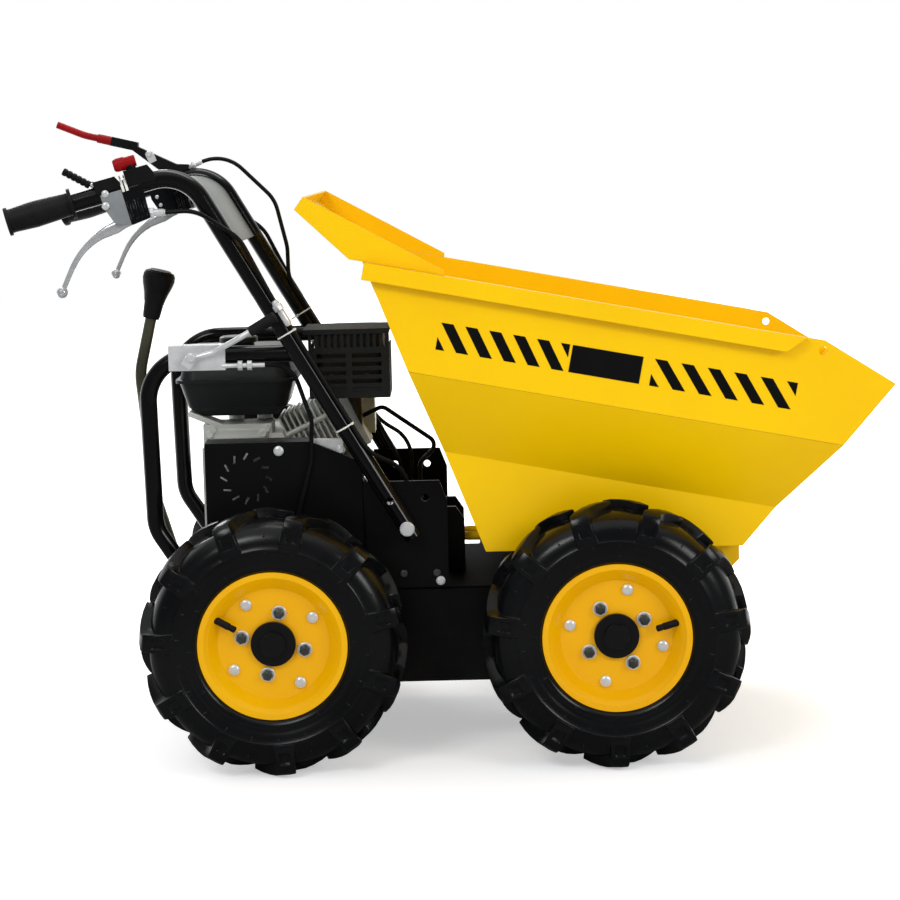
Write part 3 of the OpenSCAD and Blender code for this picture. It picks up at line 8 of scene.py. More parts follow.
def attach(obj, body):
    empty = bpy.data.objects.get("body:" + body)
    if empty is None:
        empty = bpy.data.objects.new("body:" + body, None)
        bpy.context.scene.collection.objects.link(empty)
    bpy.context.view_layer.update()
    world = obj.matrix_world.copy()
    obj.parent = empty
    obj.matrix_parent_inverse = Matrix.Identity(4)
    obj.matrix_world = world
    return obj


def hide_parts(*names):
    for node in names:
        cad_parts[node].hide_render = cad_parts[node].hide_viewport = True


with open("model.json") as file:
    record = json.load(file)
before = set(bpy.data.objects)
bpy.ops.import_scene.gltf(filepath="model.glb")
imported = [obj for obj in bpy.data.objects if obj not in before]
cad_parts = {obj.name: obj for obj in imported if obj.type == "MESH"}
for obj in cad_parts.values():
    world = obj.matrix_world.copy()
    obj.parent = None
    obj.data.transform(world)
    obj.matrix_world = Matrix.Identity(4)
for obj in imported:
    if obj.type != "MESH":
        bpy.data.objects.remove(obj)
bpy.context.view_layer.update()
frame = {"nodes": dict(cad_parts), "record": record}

MM = 0.001
# The model's X of the middle of the wheelbase, in millimetres
AXLE_SHIFT = -19.0
AHEAD = Vector((1, 0, 0))
SIDEWAYS = Vector((0, 1, 0))
RIGHT = Vector((0, -1, 0))
UP = Vector((0, 0, 1))
# Corners closer than this merge, in metres
MERGE = 0.00002
# Neighbouring faces are shaded as one under these angles, in degrees
SMOOTH_EDGES = 35
SMOOTH_BARS = 40


def at(x, y, z):
    """A place in metres from millimetres, X counted from the middle of the wheelbase."""
    return Vector(((x + AXLE_SHIFT) * MM, y * MM, z * MM))


# Modelling


def object_mode():
    if bpy.context.object is not None and bpy.context.object.mode != "OBJECT":
        bpy.ops.object.mode_set(mode="OBJECT")


def clear():
    """Leaves edit mode and deselects everything."""
    object_mode()
    bpy.ops.object.select_all(action="DESELECT")


def only(piece):
    """Selects one piece and nothing else."""
    clear()
    piece.select_set(True)
    bpy.context.view_layer.objects.active = piece


def edit_all(piece):
    """Goes into edit mode with the whole piece selected."""
    only(piece)
    bpy.ops.object.mode_set(mode="EDIT")
    bpy.ops.mesh.select_all(action="SELECT")


def settle(piece):
    """Puts the piece's place into its mesh."""
    only(piece)
    bpy.ops.object.transform_apply(location=True, rotation=True, scale=True)
    return piece


def smooth(piece, angle=SMOOTH_EDGES):
    only(piece)
    bpy.ops.object.shade_smooth_by_angle(angle=math.radians(angle))
    return piece


def turned(axis):
    return UP.rotation_difference(Vector(axis)).to_euler()


def start_round(radius, depth, centre, axis, sides=32):
    clear()
    bpy.ops.mesh.primitive_cylinder_add(
        vertices=sides, radius=radius * MM, depth=depth * MM, location=centre,
        rotation=turned(axis),
    )
    return settle(bpy.context.object)


def start_block(size, centre, turn=(0, 0, 0)):
    clear()
    bpy.ops.mesh.primitive_cube_add(size=1, location=centre, rotation=turn)
    piece = bpy.context.object
    piece.scale = [side * MM for side in size]
    return settle(piece)


def pick(piece, test):
    """Goes into edit mode with those faces selected that pass the test of centre and normal."""
    only(piece)
    bpy.ops.object.mode_set(mode="EDIT")
    bpy.ops.mesh.select_mode(type="FACE")
    bpy.ops.mesh.select_all(action="DESELECT")
    bpy.ops.object.mode_set(mode="OBJECT")
    for face in piece.data.polygons:
        face.select = test(face.center, face.normal)
    bpy.ops.object.mode_set(mode="EDIT")


def facing(direction, least=0.9):
    aim = Vector(direction).normalized()
    return lambda centre, normal: normal.dot(aim) > least


def inset(thickness, depth=0.0):
    bpy.ops.mesh.inset(thickness=thickness * MM, depth=depth * MM)


def push_by(step):
    """Extrudes the selected faces by a vector in metres."""
    bpy.ops.mesh.extrude_region_move(TRANSFORM_OT_translate={"value": step})


def push(direction, distance):
    """Extrudes the selected faces so many millimetres in a direction."""
    push_by(Vector(direction).normalized() * distance * MM)


def resize(share):
    bpy.ops.transform.resize(value=(share, share, share))


def step_face(piece, way, *steps):
    """Insets the faces that look one way, step by step: thickness and depth."""
    pick(piece, facing(way))
    for step in steps:
        inset(*step)
    object_mode()
    return piece


def lengthen(piece, aim, last):
    """Pushes the end of a bar out in steps of one, up to its last station."""
    for edge in range(1, last):
        pick(
            piece,
            lambda centre, normal: normal.dot(aim) > 0.9 and centre.dot(aim) > edge - 0.1,
        )
        push_by(aim)
        object_mode()


def modify(piece, kind, **settings):
    only(piece)
    modifier = piece.modifiers.new(kind.lower(), kind)
    for key, value in settings.items():
        setattr(modifier, key, value)
    bpy.ops.object.modifier_apply(modifier=modifier.name)


def soften(piece, width, segments=2, angle=30):
    """Rounds the sharp edges and smooths the shading between them."""
    modify(
        piece, "BEVEL", width=width * MM, segments=segments, limit_method="ANGLE",
        angle_limit=math.radians(angle), use_clamp_overlap=True,
    )
    return smooth(piece)


def tidy_shell(piece):
    """Merges doubles and turns all faces outwards."""
    edit_all(piece)
    bpy.ops.mesh.remove_doubles(threshold=MERGE)
    bpy.ops.mesh.normals_make_consistent(inside=False)
    object_mode()
    return piece


def twin(piece):
    """A copy with its own mesh."""
    only(piece)
    bpy.ops.object.duplicate(linked=False)
    return bpy.context.object


def flipped(to_left):
    """A mirror from the right side to the left, or no change."""
    return Matrix.Scale(-1, 4, SIDEWAYS) if to_left else Matrix.Identity(4)


def moved(piece, matrix):
    """Moves the piece by a matrix and puts its place into its mesh."""
    piece.matrix_world = matrix @ piece.matrix_world
    settle(piece)
    if matrix.determinant() < 0:
        tidy_shell(piece)
    return piece


def joined(pieces):
    clear()
    for piece in pieces:
        piece.select_set(True)
    bpy.context.view_layer.objects.active = pieces[0]
    bpy.ops.object.join()
    return bpy.context.object


def deliver(piece, name, finish, body):
    """Names a finished piece, dresses it and lets it ride on its body."""
    piece.name = name
    piece.data.name = name
    piece.data.materials.clear()
    piece.data.materials.append(finish)
    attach(piece, body)
    return piece


# Shader groups


def feed(tree, socket, value):
    """Links an input to an output, or sets its value."""
    if isinstance(value, bpy.types.NodeSocket):
        tree.links.new(value, socket)
    else:
        socket.default_value = value


def put(tree, kind, **values):
    """Adds a node. Small first letters set properties, capitals inputs, I and a number the rest."""
    node = tree.nodes.new(kind)
    for key, value in values.items():
        if key[0].islower():
            setattr(node, key, value)
        elif key[0] == "I" and key[1:].isdigit():
            feed(tree, node.inputs[int(key[1:])], value)
        else:
            feed(tree, node.inputs[key.replace("_", " ")], value)
    return node


def calc(tree, operation, first, second=0.0, clamp=False):
    node = put(
        tree, "ShaderNodeMath", operation=operation, use_clamp=clamp, I0=first, I1=second
    )
    return node.outputs[0]


def band(tree, value, low, high, to_low=0.0, to_high=1.0):
    """Maps a value between two limits to a smooth step."""
    return put(
        tree, "ShaderNodeMapRange", interpolation_type="SMOOTHSTEP", clamp=True,
        Value=value, From_Min=low, From_Max=high, To_Min=to_low, To_Max=to_high,
    ).outputs[0]


def blend_colours(tree, factor, first, second):
    # A mix node has inputs of each type: 6 and 7 are its colours, and output 2 is the mixed one
    return put(tree, "ShaderNodeMix", data_type="RGBA", I0=factor, I6=first, I7=second).outputs[2]


def own_place(tree):
    return put(tree, "ShaderNodeTexCoord").outputs["Object"]


def part_of(tree, vector, axis):
    return put(tree, "ShaderNodeSeparateXYZ", Vector=vector).outputs[axis]


def surface_normal(tree):
    return put(tree, "ShaderNodeNewGeometry").outputs["Normal"]


def dot(tree, first, second):
    return put(
        tree, "ShaderNodeVectorMath", operation="DOT_PRODUCT", I0=first, I1=second
    ).outputs["Value"]


def noise(tree, place, scale, detail, roughness=0.5):
    return put(
        tree, "ShaderNodeTexNoise", Vector=place, Scale=scale, Detail=detail, Roughness=roughness
    ).outputs[0]


def open_group(name, inputs, outputs):
    """A new group with its inputs (name and start value) and the names of its outputs."""
    tree = bpy.data.node_groups.new(name, "ShaderNodeTree")
    for label, start in inputs:
        socket = tree.interface.new_socket(label, in_out="INPUT", socket_type="NodeSocketFloat")
        socket.default_value = start
    for label in outputs:
        tree.interface.new_socket(label, in_out="OUTPUT", socket_type="NodeSocketFloat")
    given = tree.nodes.new("NodeGroupInput").outputs
    return tree, given, tree.nodes.new("NodeGroupOutput").inputs


def worn_edges_group():
    """Mask along sharp edges, broken up by noise."""
    tree, given, out = open_group(
        "worn_edges", [("Radius", 0.002), ("Breakup", 60.0), ("Amount", 0.5)], ["Mask"]
    )
    rounded = put(tree, "ShaderNodeBevel", samples=4, Radius=given["Radius"]).outputs[0]
    along = dot(tree, rounded, surface_normal(tree))
    edge = band(tree, calc(tree, "SUBTRACT", 1.0, along), 0.02, 0.16)
    broken = band(tree, noise(tree, own_place(tree), given["Breakup"], 6.0, 0.62), 0.46, 0.66)
    worn = calc(tree, "MULTIPLY", edge, broken)
    tree.links.new(calc(tree, "MULTIPLY", worn, given["Amount"], True), out["Mask"])
    return tree


def coat_skin_group():
    """Height of a sprayed or moulded skin and a slow drift of its tone."""
    tree, given, out = open_group(
        "coat_skin", [("Grain", 900.0), ("Drift", 3.0)], ["Height", "Tone"]
    )
    place = own_place(tree)
    tree.links.new(noise(tree, place, given["Grain"], 2.0), out["Height"])
    tree.links.new(noise(tree, place, given["Drift"], 4.0, 0.55), out["Tone"])
    return tree


# Turn and stretch of each direction of scratches
SCRATCH_WAYS = [((0.2, 0.5, 0.3), (1, 14, 22)), ((1.1, 0.2, 0.9), (18, 1.2, 12))]


def scratches_group():
    """Mask of fine scratches in two directions."""
    tree, given, out = open_group("scratches", [("Scale", 30.0), ("Amount", 0.4)], ["Mask"])
    place = own_place(tree)
    total = 0.0
    for turn, stretch in SCRATCH_WAYS:
        laid = put(tree, "ShaderNodeMapping", Vector=place, Rotation=turn, Scale=stretch).outputs[0]
        lines = noise(tree, laid, given["Scale"], 2.0, 0.4)
        off_line = calc(tree, "ABSOLUTE", calc(tree, "SUBTRACT", lines, 0.5))
        total = calc(tree, "MAXIMUM", total, band(tree, off_line, 0.0, 0.012, 1.0, 0.0))
    patch = noise(tree, place, 7.0, 2.0)
    held = calc(tree, "MULTIPLY", total, band(tree, patch, 0.52, 0.7))
    tree.links.new(calc(tree, "MULTIPLY", held, given["Amount"], True), out["Mask"])
    return tree


def dust_group():
    """Mask of dust that lies on upward faces and near the ground."""
    tree, given, out = open_group("dust", [("Amount", 0.2), ("Reach", 0.3)], ["Mask"])
    place = own_place(tree)
    lying = band(tree, part_of(tree, surface_normal(tree), "Z"), 0.35, 1.0)
    low = put(
        tree, "ShaderNodeMapRange", clamp=True, Value=part_of(tree, place, "Z"),
        From_Min=0.0, From_Max=given["Reach"], To_Min=1.0, To_Max=0.0,
    ).outputs[0]
    cloud = noise(tree, place, 24.0, 7.0, 0.65)
    where = calc(tree, "MAXIMUM", calc(tree, "MULTIPLY", lying, 0.6), low)
    settled = calc(tree, "MULTIPLY", where, band(tree, cloud, 0.4, 0.75))
    tree.links.new(calc(tree, "MULTIPLY", settled, given["Amount"], True), out["Mask"])
    return tree


WORN_EDGES = worn_edges_group()
COAT_SKIN = coat_skin_group()
SCRATCHES = scratches_group()
DUST = dust_group()


def linear(code):
    """A colour for a shader from its usual hex code."""
    steps = [int(code[i:i + 2], 16) / 255 for i in (0, 2, 4)]
    tone = [s / 12.92 if s <= 0.04045 else ((s + 0.055) / 1.055) ** 2.4 for s in steps]
    return (*tone, 1.0)


DUST_TONE = linear("8A8275")


def placed_group(tree, group, **values):
    node = tree.nodes.new("ShaderNodeGroup")
    node.node_tree = group
    for key, value in values.items():
        node.inputs[key].default_value = value
    return node.outputs


def rougher(tree, shine, mask, amount):
    return calc(tree, "ADD", shine, calc(tree, "MULTIPLY", mask, amount), True)


def dressed(
    name, tone, second_tone, rough, grain, grain_depth, metal=0.0, gloss=0.16, wear=0.0,
    wear_tone=None, scratch=0.0, dust=0.0, drift=3.0, edge=0.0008, front=None,
):
    """A finish with a drifting tone, a skin, worn edges, scratches and dust.

    Front gives what lies ahead of a place, a dark part, and all of the left side, as painted shade,
    another tone: a direction, the place along it in metres, and the tone.
    """
    finish = bpy.data.materials.new(name)
    finish.use_nodes = True
    tree = finish.node_tree
    tree.nodes.clear()
    skin = placed_group(tree, COAT_SKIN, Grain=grain, Drift=drift)
    drifting = band(tree, skin["Tone"], 0.3, 0.7)
    colour = blend_colours(tree, drifting, linear(tone), linear(second_tone))
    if front:
        way, start, dark_part_and_shade_tone = front
        place = own_place(tree)
        ahead = band(tree, dot(tree, place, way), start, start + 0.0006)
        # All of the left side takes the dark tone as painted shade
        left = band(tree, part_of(tree, place, "Y"), 0.0, 0.001)
        dark_part_and_painted_shade = calc(tree, "MAXIMUM", ahead, left)
        colour = blend_colours(tree, dark_part_and_painted_shade, colour, linear(dark_part_and_shade_tone))
    unevenness = calc(tree, "SUBTRACT", skin["Tone"], 0.5)
    shine = calc(tree, "ADD", rough, calc(tree, "MULTIPLY", unevenness, 0.22))
    if scratch:
        marks = placed_group(tree, SCRATCHES, Scale=26.0, Amount=scratch)["Mask"]
        shine = rougher(tree, shine, marks, 0.25)
        thin = calc(tree, "MULTIPLY", marks, 0.35)
        colour = blend_colours(tree, thin, colour, linear(wear_tone or second_tone))
    if wear:
        rubbed = placed_group(tree, WORN_EDGES, Radius=0.0015, Breakup=70.0, Amount=wear)["Mask"]
        colour = blend_colours(tree, rubbed, colour, linear(wear_tone or second_tone))
        shine = rougher(tree, shine, rubbed, 0.12)
    if dust:
        lying = placed_group(tree, DUST, Amount=dust, Reach=0.3)["Mask"]
        colour = blend_colours(tree, lying, colour, DUST_TONE)
        shine = rougher(tree, shine, lying, 0.4)
    rounded = put(tree, "ShaderNodeBevel", samples=4, Radius=edge).outputs[0]
    bump = put(
        tree, "ShaderNodeBump", Strength=0.6, Distance=grain_depth, Height=skin["Height"],
        Normal=rounded,
    ).outputs[0]
    shader = put(
        tree, "ShaderNodeBsdfPrincipled", Base_Color=colour, Roughness=shine, Normal=bump,
        Metallic=metal, Specular_IOR_Level=gloss,
    ).outputs[0]
    put(tree, "ShaderNodeOutputMaterial", Surface=shader)
    return finish


# Direction of the handlebar and the place on it where the lever housings are split, in metres
HOUSING_ALONG = (0.9676, 0.0, 0.2526)
HOUSING_SPLIT = -0.2520

skip_yellow = dressed(
    "skip_yellow", "F5C600", "F0BE00", 0.32, 420.0, 0.00012,
    wear=0.5, wear_tone="E2AC2C", scratch=0.25, dust=0.03, edge=0.0016,
)
rim_yellow = dressed(
    "rim_yellow", "F0B600", "EAAA00", 0.22, 500.0, 0.0001, gloss=0.25,
    wear=0.45, wear_tone="CF8E10", scratch=0.2, edge=0.0018,
)
tyre_rubber = dressed(
    "tyre_rubber", "07080A", "0B0C0E", 0.23, 700.0, 0.00014, gloss=0.3,
    wear=0.6, wear_tone="303336", drift=9.0,
)
hub_black = dressed(
    "hub_black", "09090A", "0E0E0F", 0.24, 600.0, 0.0001, gloss=0.28,
    wear=0.5, wear_tone="48484A",
)
frame_black = dressed(
    "frame_black", "080809", "0C0C0D", 0.36, 520.0, 0.00014,
    wear=0.4, wear_tone="38383A", scratch=0.2, dust=0.03, edge=0.0012,
)
deck_black = dressed(
    "deck_black", "080809", "0C0C0D", 0.62, 520.0, 0.00014, gloss=0.02,
    wear=0.4, wear_tone="2C2C2E", scratch=0.2, edge=0.0012,
)
guard_black = dressed(
    "guard_black", "2B2E2E", "212323", 0.5, 480.0, 0.00012, gloss=0.03,
    wear=0.4, wear_tone="3A3A3B", scratch=0.2,
)
tank_black = dressed(
    "tank_black", "242627", "1B1D1E", 0.36, 800.0, 0.0002, gloss=0.22,
    wear=0.3, wear_tone="2E3133", drift=6.0,
)
tube_black = dressed(
    "tube_black", "070708", "0B0B0C", 0.15, 420.0, 0.00006, gloss=0.3,
    wear=0.3, wear_tone="343436", scratch=0.2,
)
gear_grey = dressed(
    "gear_grey", "6B6C6E", "57585A", 0.55, 260.0, 0.0005, metal=0.6,
    wear=0.4, wear_tone="9A9B9C", dust=0.2,
)
zinc_steel = dressed(
    "zinc_steel", "EEF0F1", "DADDDF", 0.32, 380.0, 0.00008, metal=0.5,
    wear=0.3, wear_tone="E8E9EA", scratch=0.3, drift=40.0,
)
engine_alloy = dressed(
    "engine_alloy", "EAEDE8", "D3D7D2", 0.4, 520.0, 0.00035, metal=0.3,
    wear=0.5, wear_tone="E0E1E2", dust=0.05, drift=14.0,
)
engine_black = dressed(
    "engine_black", "0B0B0B", "111112", 0.34, 480.0, 0.00012,
    wear=0.35, wear_tone="303031", scratch=0.2, dust=0.03,
)
muffler_grey = dressed(
    "muffler_grey", "4A4845", "383532", 0.5, 320.0, 0.0003, metal=0.7,
    wear=0.4, wear_tone="6C6964", dust=0.1, drift=12.0,
)
plastic_black = dressed(
    "plastic_black", "0F0F10", "161617", 0.42, 900.0, 0.00022,
    wear=0.4, wear_tone="2E2E2F", dust=0.03, drift=8.0,
)
dash_grey = dressed(
    "dash_grey", "6C716D", "636864", 0.36, 420.0, 0.0001,
    wear=0.4, wear_tone="7C807B", scratch=0.3, dust=0.04,
)
grip_rubber = dressed(
    "grip_rubber", "111112", "18181A", 0.55, 1100.0, 0.0003,
    wear=0.4, wear_tone="2C2C2D", dust=0.02, drift=16.0,
)
# The dark tone covers the front part of each lever housing and, as painted shade, all of the left
# housing
housing_grey = dressed(
    "housing_grey", "A9AEB0", "92979B", 0.36, 620.0, 0.0003, metal=0.5,
    wear=0.55, wear_tone="B4B7BA", scratch=0.2, drift=14.0,
    front=(HOUSING_ALONG, HOUSING_SPLIT, "16171A"),
)
lever_chrome = dressed(
    "lever_chrome", "DEE0E2", "C9CCCF", 0.18, 300.0, 0.00006, metal=0.6,
    wear=0.3, wear_tone="F0F0F0", scratch=0.3, drift=30.0,
)
signal_red = dressed(
    "signal_red", "9C050C", "8A040A", 0.34, 600.0, 0.0001,
    wear=0.4, wear_tone="D54646", scratch=0.2, drift=12.0,
)
rod_olive = dressed(
    "rod_olive", "5E5D4E", "4C4B3F", 0.34, 420.0, 0.00012, metal=0.6,
    wear=0.4, wear_tone="8A897C", scratch=0.3, drift=16.0,
)
cable_black = dressed(
    "cable_black", "0B0B0C", "111112", 0.36, 900.0, 0.0001,
    wear=0.3, wear_tone="2A2A2B", drift=20.0,
)
nut_steel = dressed(
    "nut_steel", "565C5A", "414645", 0.35, 500.0, 0.00012, metal=0.6,
    wear=0.5, wear_tone="8E9391", drift=30.0,
)
stripe_black = dressed(
    "stripe_black", "0B0B0C", "111112", 0.3, 700.0, 0.00005,
    wear=0.4, wear_tone="3A3423", scratch=0.3,
)
tie_white = dressed(
    "tie_white", "E6E6E0", "DCDCD5", 0.4, 800.0, 0.0001,
    wear=0.2, wear_tone="F2F2EE", drift=30.0,
)

# Finishes by the record's material slots, and those nodes that have one of their own
FINISHES = {
    "tyre_rubber": tyre_rubber, "rim_yellow": rim_yellow, "hub_black": hub_black,
    "skip_yellow": skip_yellow, "frame_black": frame_black, "gear_grey": gear_grey,
    "zinc_steel": zinc_steel, "engine_alloy": engine_alloy, "engine_black": engine_black,
    "muffler_grey": muffler_grey, "plastic_black": plastic_black, "tube_black": tube_black,
    "dash_grey": dash_grey, "grip_rubber": grip_rubber, "housing_grey": housing_grey,
    "lever_chrome": lever_chrome, "signal_red": signal_red, "rod_olive": rod_olive,
    "cable_black": cable_black,
}
NODE_FINISHES = {
    "chassis_deck": deck_black, "muffler_guard": guard_black, "fuel_tank": tank_black,
}
for subpart in frame["record"]["subparts"]:
    node = frame["nodes"][subpart["node"]]
    finish = NODE_FINISHES.get(subpart["node"], FINISHES[subpart["material_slot"]])
    node.data.materials.clear()
    node.data.materials.append(finish)


# Tyres, made once around the Y axis with the outer side to the right

# Half of the section, from the crown to the bead: radius and distance from the middle plane
TYRE_SECTION = [
    (192.0, 0), (191.6, 12), (189.6, 23), (185.5, 33), (178.5, 41.5), (170, 46.8), (161, 49.6),
    (153.2, 50.6), (151.8, 51.8), (149.8, 51.8), (148.4, 50.5), (141, 49.4), (134, 47),
    (129.5, 44.6), (127.5, 44.8), (123.5, 44.6), (119, 42.6), (116, 39.6), (115.3, 36.5),
    (114.9, 34.9), (105, 34.8), (102.7, 31), (102.7, 10),
]
TYRE_STEPS = 132
LUG_COUNT = 11
LUG_PITCH = 2 * math.pi / LUG_COUNT
# Each station of a lug: radius and distance from the middle plane on top, the same at the base,
# and half width
LUG_STATIONS = [
    (205.2, -5, 186, -4, 11.0), (206, 7, 186, 7, 11.6), (205.6, 19, 185.5, 18, 12.2),
    (204.2, 30, 181, 28, 12.8), (201.4, 39, 175, 34.5, 13.2), (197.2, 46, 170, 38, 13.6),
    (187.5, 50.8, 167, 40, 14.0), (175, 52.9, 163, 42, 14.4), (162, 53.0, 157, 45, 14.8),
    (151.6, 52.4, 152, 46, 15.2),
]
LUG_LAST = len(LUG_STATIONS) - 1
# How far a lug turns from the edge of the crown to the middle, the half width of that part,
# and the most of that turn
CROWN_TURN = math.radians(11.0)
CROWN_HALF = 38.0
CROWN_MOST = 1.2
# How much wider a lug is at its base
LUG_FLARE = 0.22
# Stations between which a lug has a pocket, and the pocket's edge and depth as shares of a step
POCKET_FROM, POCKET_TO = 5.9, 8.0
POCKET_EDGE = 0.24
POCKET_DEPTH = 0.3
# Rings of moulded ticks on the side of a tyre: radius, distance from the middle plane,
# tilt in degrees, count
TICK_RINGS = [(125.8, 44.6, 0.0, 12), (144.5, 49.9, -8.0, 22), (171.0, 46.2, -32.0, 11)]
TICK_SIZE = (7.0, 2.2, 1.8)
TICK_TAPER = (0.8, 1.0, 0.6)
TICK_START = LUG_PITCH * 0.42


def around(radius, across, angle):
    return Vector((radius * math.cos(angle) * MM, across * MM, radius * math.sin(angle) * MM))


def make_carcass():
    ring = TYRE_SECTION + [(r, -a) for r, a in reversed(TYRE_SECTION[1:])]
    clear()
    bpy.ops.mesh.primitive_circle_add(vertices=len(ring), radius=0.1)
    piece = bpy.context.object
    for vertex, (r, a) in zip(piece.data.vertices, ring):
        vertex.co = around(r, a, 0.0)
    edit_all(piece)
    bpy.ops.mesh.spin(steps=TYRE_STEPS, angle=2 * math.pi, center=(0, 0, 0), axis=SIDEWAYS)
    return smooth(tidy_shell(piece), SMOOTH_BARS)


def make_lug():
    """A bar pushed out station by station, then laid over the crown and down the shoulder."""
    clear()
    bpy.ops.mesh.primitive_cube_add(size=1, location=(0.5, 0, 0.5))
    piece = settle(bpy.context.object)
    lengthen(piece, AHEAD, LUG_LAST)
    pick(piece, lambda centre, normal: normal.z > 0.9 and POCKET_FROM < centre.x < POCKET_TO)
    bpy.ops.mesh.inset(thickness=POCKET_EDGE)
    push_by(UP * -POCKET_DEPTH)
    object_mode()
    for vertex in piece.data.vertices:
        along = min(max(vertex.co.x, 0.0), LUG_LAST - 1e-6)
        low = int(along)
        share = along - low
        near, far = LUG_STATIONS[low], LUG_STATIONS[low + 1]
        r_top, a_top, r_base, a_base, half = [p + (q - p) * share for p, q in zip(near, far)]
        level = vertex.co.z
        r = r_base + (r_top - r_base) * level
        a = a_base + (a_top - a_base) * level
        widen = 1.0 + LUG_FLARE * (1.0 - level)
        lean = CROWN_TURN * min(max((CROWN_HALF - a) / CROWN_HALF, 0.0), CROWN_MOST)
        side = vertex.co.y * 2.0 * half * widen / r
        vertex.co = around(r, -a, side - lean)
    return soften(tidy_shell(piece), 1.8, angle=28)


def make_tick(radius, across, tilt):
    """Low radial rib on the right side of a tyre, narrower at its top."""
    place = Vector((radius, -across, 0)) * MM
    tick = start_block(TICK_SIZE, place, (0, 0, math.radians(tilt)))
    pick(tick, facing(RIGHT, 0.6))
    bpy.ops.transform.resize(value=TICK_TAPER)
    object_mode()
    return soften(tick, 0.2, segments=1)


def make_tyre():
    parts = [make_carcass()]
    rings = [(make_lug(), LUG_COUNT, 0.0)]
    for radius, across, tilt, count in TICK_RINGS:
        rings.append((make_tick(radius, across, tilt), count, TICK_START))
    for pattern, count, start in rings:
        for to_left in (False, True):
            offset = start + LUG_PITCH / 2 if to_left else start
            for index in range(count):
                turn = Matrix.Rotation(-(index * 2 * math.pi / count + offset), 4, "Y")
                parts.append(moved(twin(pattern), turn @ flipped(to_left)))
        bpy.data.objects.remove(pattern)
    return joined(parts)


WHEEL_HEIGHT = 206.0
WHEEL_ALONG = 262.5
WHEEL_OUT = 297.0
# Each wheel: place along and across, then the turns of its lugs, nuts, bolts and valve in degrees
# as seen from outside
WHEELS = {
    "rear_right": (-WHEEL_ALONG, -WHEEL_OUT, 78.5, 78.0, 33.0, 155.0),
    "front_right": (WHEEL_ALONG, -WHEEL_OUT, 74.0, 30.0, 76.0, 12.0),
    "rear_left": (-WHEEL_ALONG, WHEEL_OUT, 63.0, 20.0, 65.0, 200.0),
    "front_left": (WHEEL_ALONG, WHEEL_OUT, 91.0, 55.0, 10.0, 300.0),
}


def wheel_matrix(wheel, degrees):
    x, y = WHEELS[wheel][:2]
    turn = Matrix.Rotation(-math.radians(degrees), 4, "Y")
    return Matrix.Translation(at(x, y, WHEEL_HEIGHT)) @ flipped(y > 0) @ turn


tyre = make_tyre()
for wheel in WHEELS:
    copy = moved(twin(tyre), wheel_matrix(wheel, WHEELS[wheel][2]))
    deliver(copy, wheel + "_lugged_tyre", tyre_rubber, wheel + "_wheel")
    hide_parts(wheel + "_tyre")
bpy.data.objects.remove(tyre)


# Wheel nuts, rim bolts and valves, made once for a right wheel on the X axis

DISC_FACE = -16.0
NUT_RING = 49.0
BOLT_RING = 73.0
VALVE_FOOT = Vector((97, -24, 0)) * MM
VALVE_WAY = Vector((-0.95, -0.3, 0)).normalized()


def on_disc(ring, out):
    """A place on the X axis, so far out from the wheel disc."""
    return Vector((ring, DISC_FACE - out, 0)) * MM


def make_flange():
    """Pale cone washer under a wheel nut."""
    flange = start_round(11.6, 3.2, on_disc(NUT_RING, 1.6), RIGHT, 40)
    return soften(step_face(flange, RIGHT, (1.5, 1.4), (1.2, -0.8)), 0.4)


def make_nut():
    """Hexagon nut on its stud."""
    nut = start_round(8.6, 8.0, on_disc(NUT_RING, 6.4), RIGHT, 6)
    step_face(nut, RIGHT, (2.4, 1.2), (1.4, -2.4))
    stud = start_round(5.4, 8.0, on_disc(NUT_RING, 8.0), RIGHT, 24)
    step_face(stud, RIGHT, (1.2, 0.8))
    return joined([soften(nut, 0.6), soften(stud, 0.3)])


def make_bolt():
    """Low dome head of a rim bolt."""
    head = start_round(8.8, 3.4, on_disc(BOLT_RING, 1.7), RIGHT)
    return soften(step_face(head, RIGHT, (1.6, 1.5), (2.2, 0.9), (2.4, 0.4)), 0.5)


def make_valve():
    """Rubber valve stem with its cap, pointing in from the rim well."""
    stem = start_round(5.6, 26, VALVE_FOOT + VALVE_WAY * 13 * MM, VALVE_WAY, 28)
    pick(stem, facing(VALVE_WAY))
    inset(1.5, 0.5)
    push(VALVE_WAY, 2.0)
    resize(1.22)
    push(VALVE_WAY, 8.0)
    inset(1.2, 0.8)
    pick(stem, facing(-VALVE_WAY))
    push(-VALVE_WAY, 5.0)
    resize(1.6)
    object_mode()
    return soften(stem, 0.5)


nut, flange, bolt, valve = make_nut(), make_flange(), make_bolt(), make_valve()
for wheel in WHEELS:
    nut_turn, bolt_turn, valve_turn = WHEELS[wheel][3:]
    dark, bright = [], []
    for turn in (0, 90, 180, 270):
        dark.append(moved(twin(nut), wheel_matrix(wheel, nut_turn + turn)))
        bright.append(moved(twin(flange), wheel_matrix(wheel, nut_turn + turn)))
        bright.append(moved(twin(bolt), wheel_matrix(wheel, bolt_turn + turn)))
    deliver(joined(dark), wheel + "_nuts", nut_steel, wheel + "_wheel")
    deliver(joined(bright), wheel + "_bolts", zinc_steel, wheel + "_wheel")
    stem = moved(twin(valve), wheel_matrix(wheel, valve_turn))
    deliver(stem, wheel + "_valve", grip_rubber, wheel + "_wheel")
for model in (nut, flange, bolt, valve):
    bpy.data.objects.remove(model)


# Stripes and the blank plate on the sides of the skip, set out along its rim and down from it

RIM_REAR = Vector((-110, 0, 785))
RIM_CREST = Vector((584, 0, 650))
RIM_ALONG = (RIM_CREST - RIM_REAR).normalized()
RIM_DOWN = Vector((RIM_ALONG.z, 0, -RIM_ALONG.x))
SKIP_HALF = 310.0
STRIPE_GAP = 0.05
STRIPE_TOP = 70.0
STRIPE_LOW = 111.5
STRIPE_THICK = 0.35
PLATE_THICK = 0.7
STRIPE_COUNT = 7
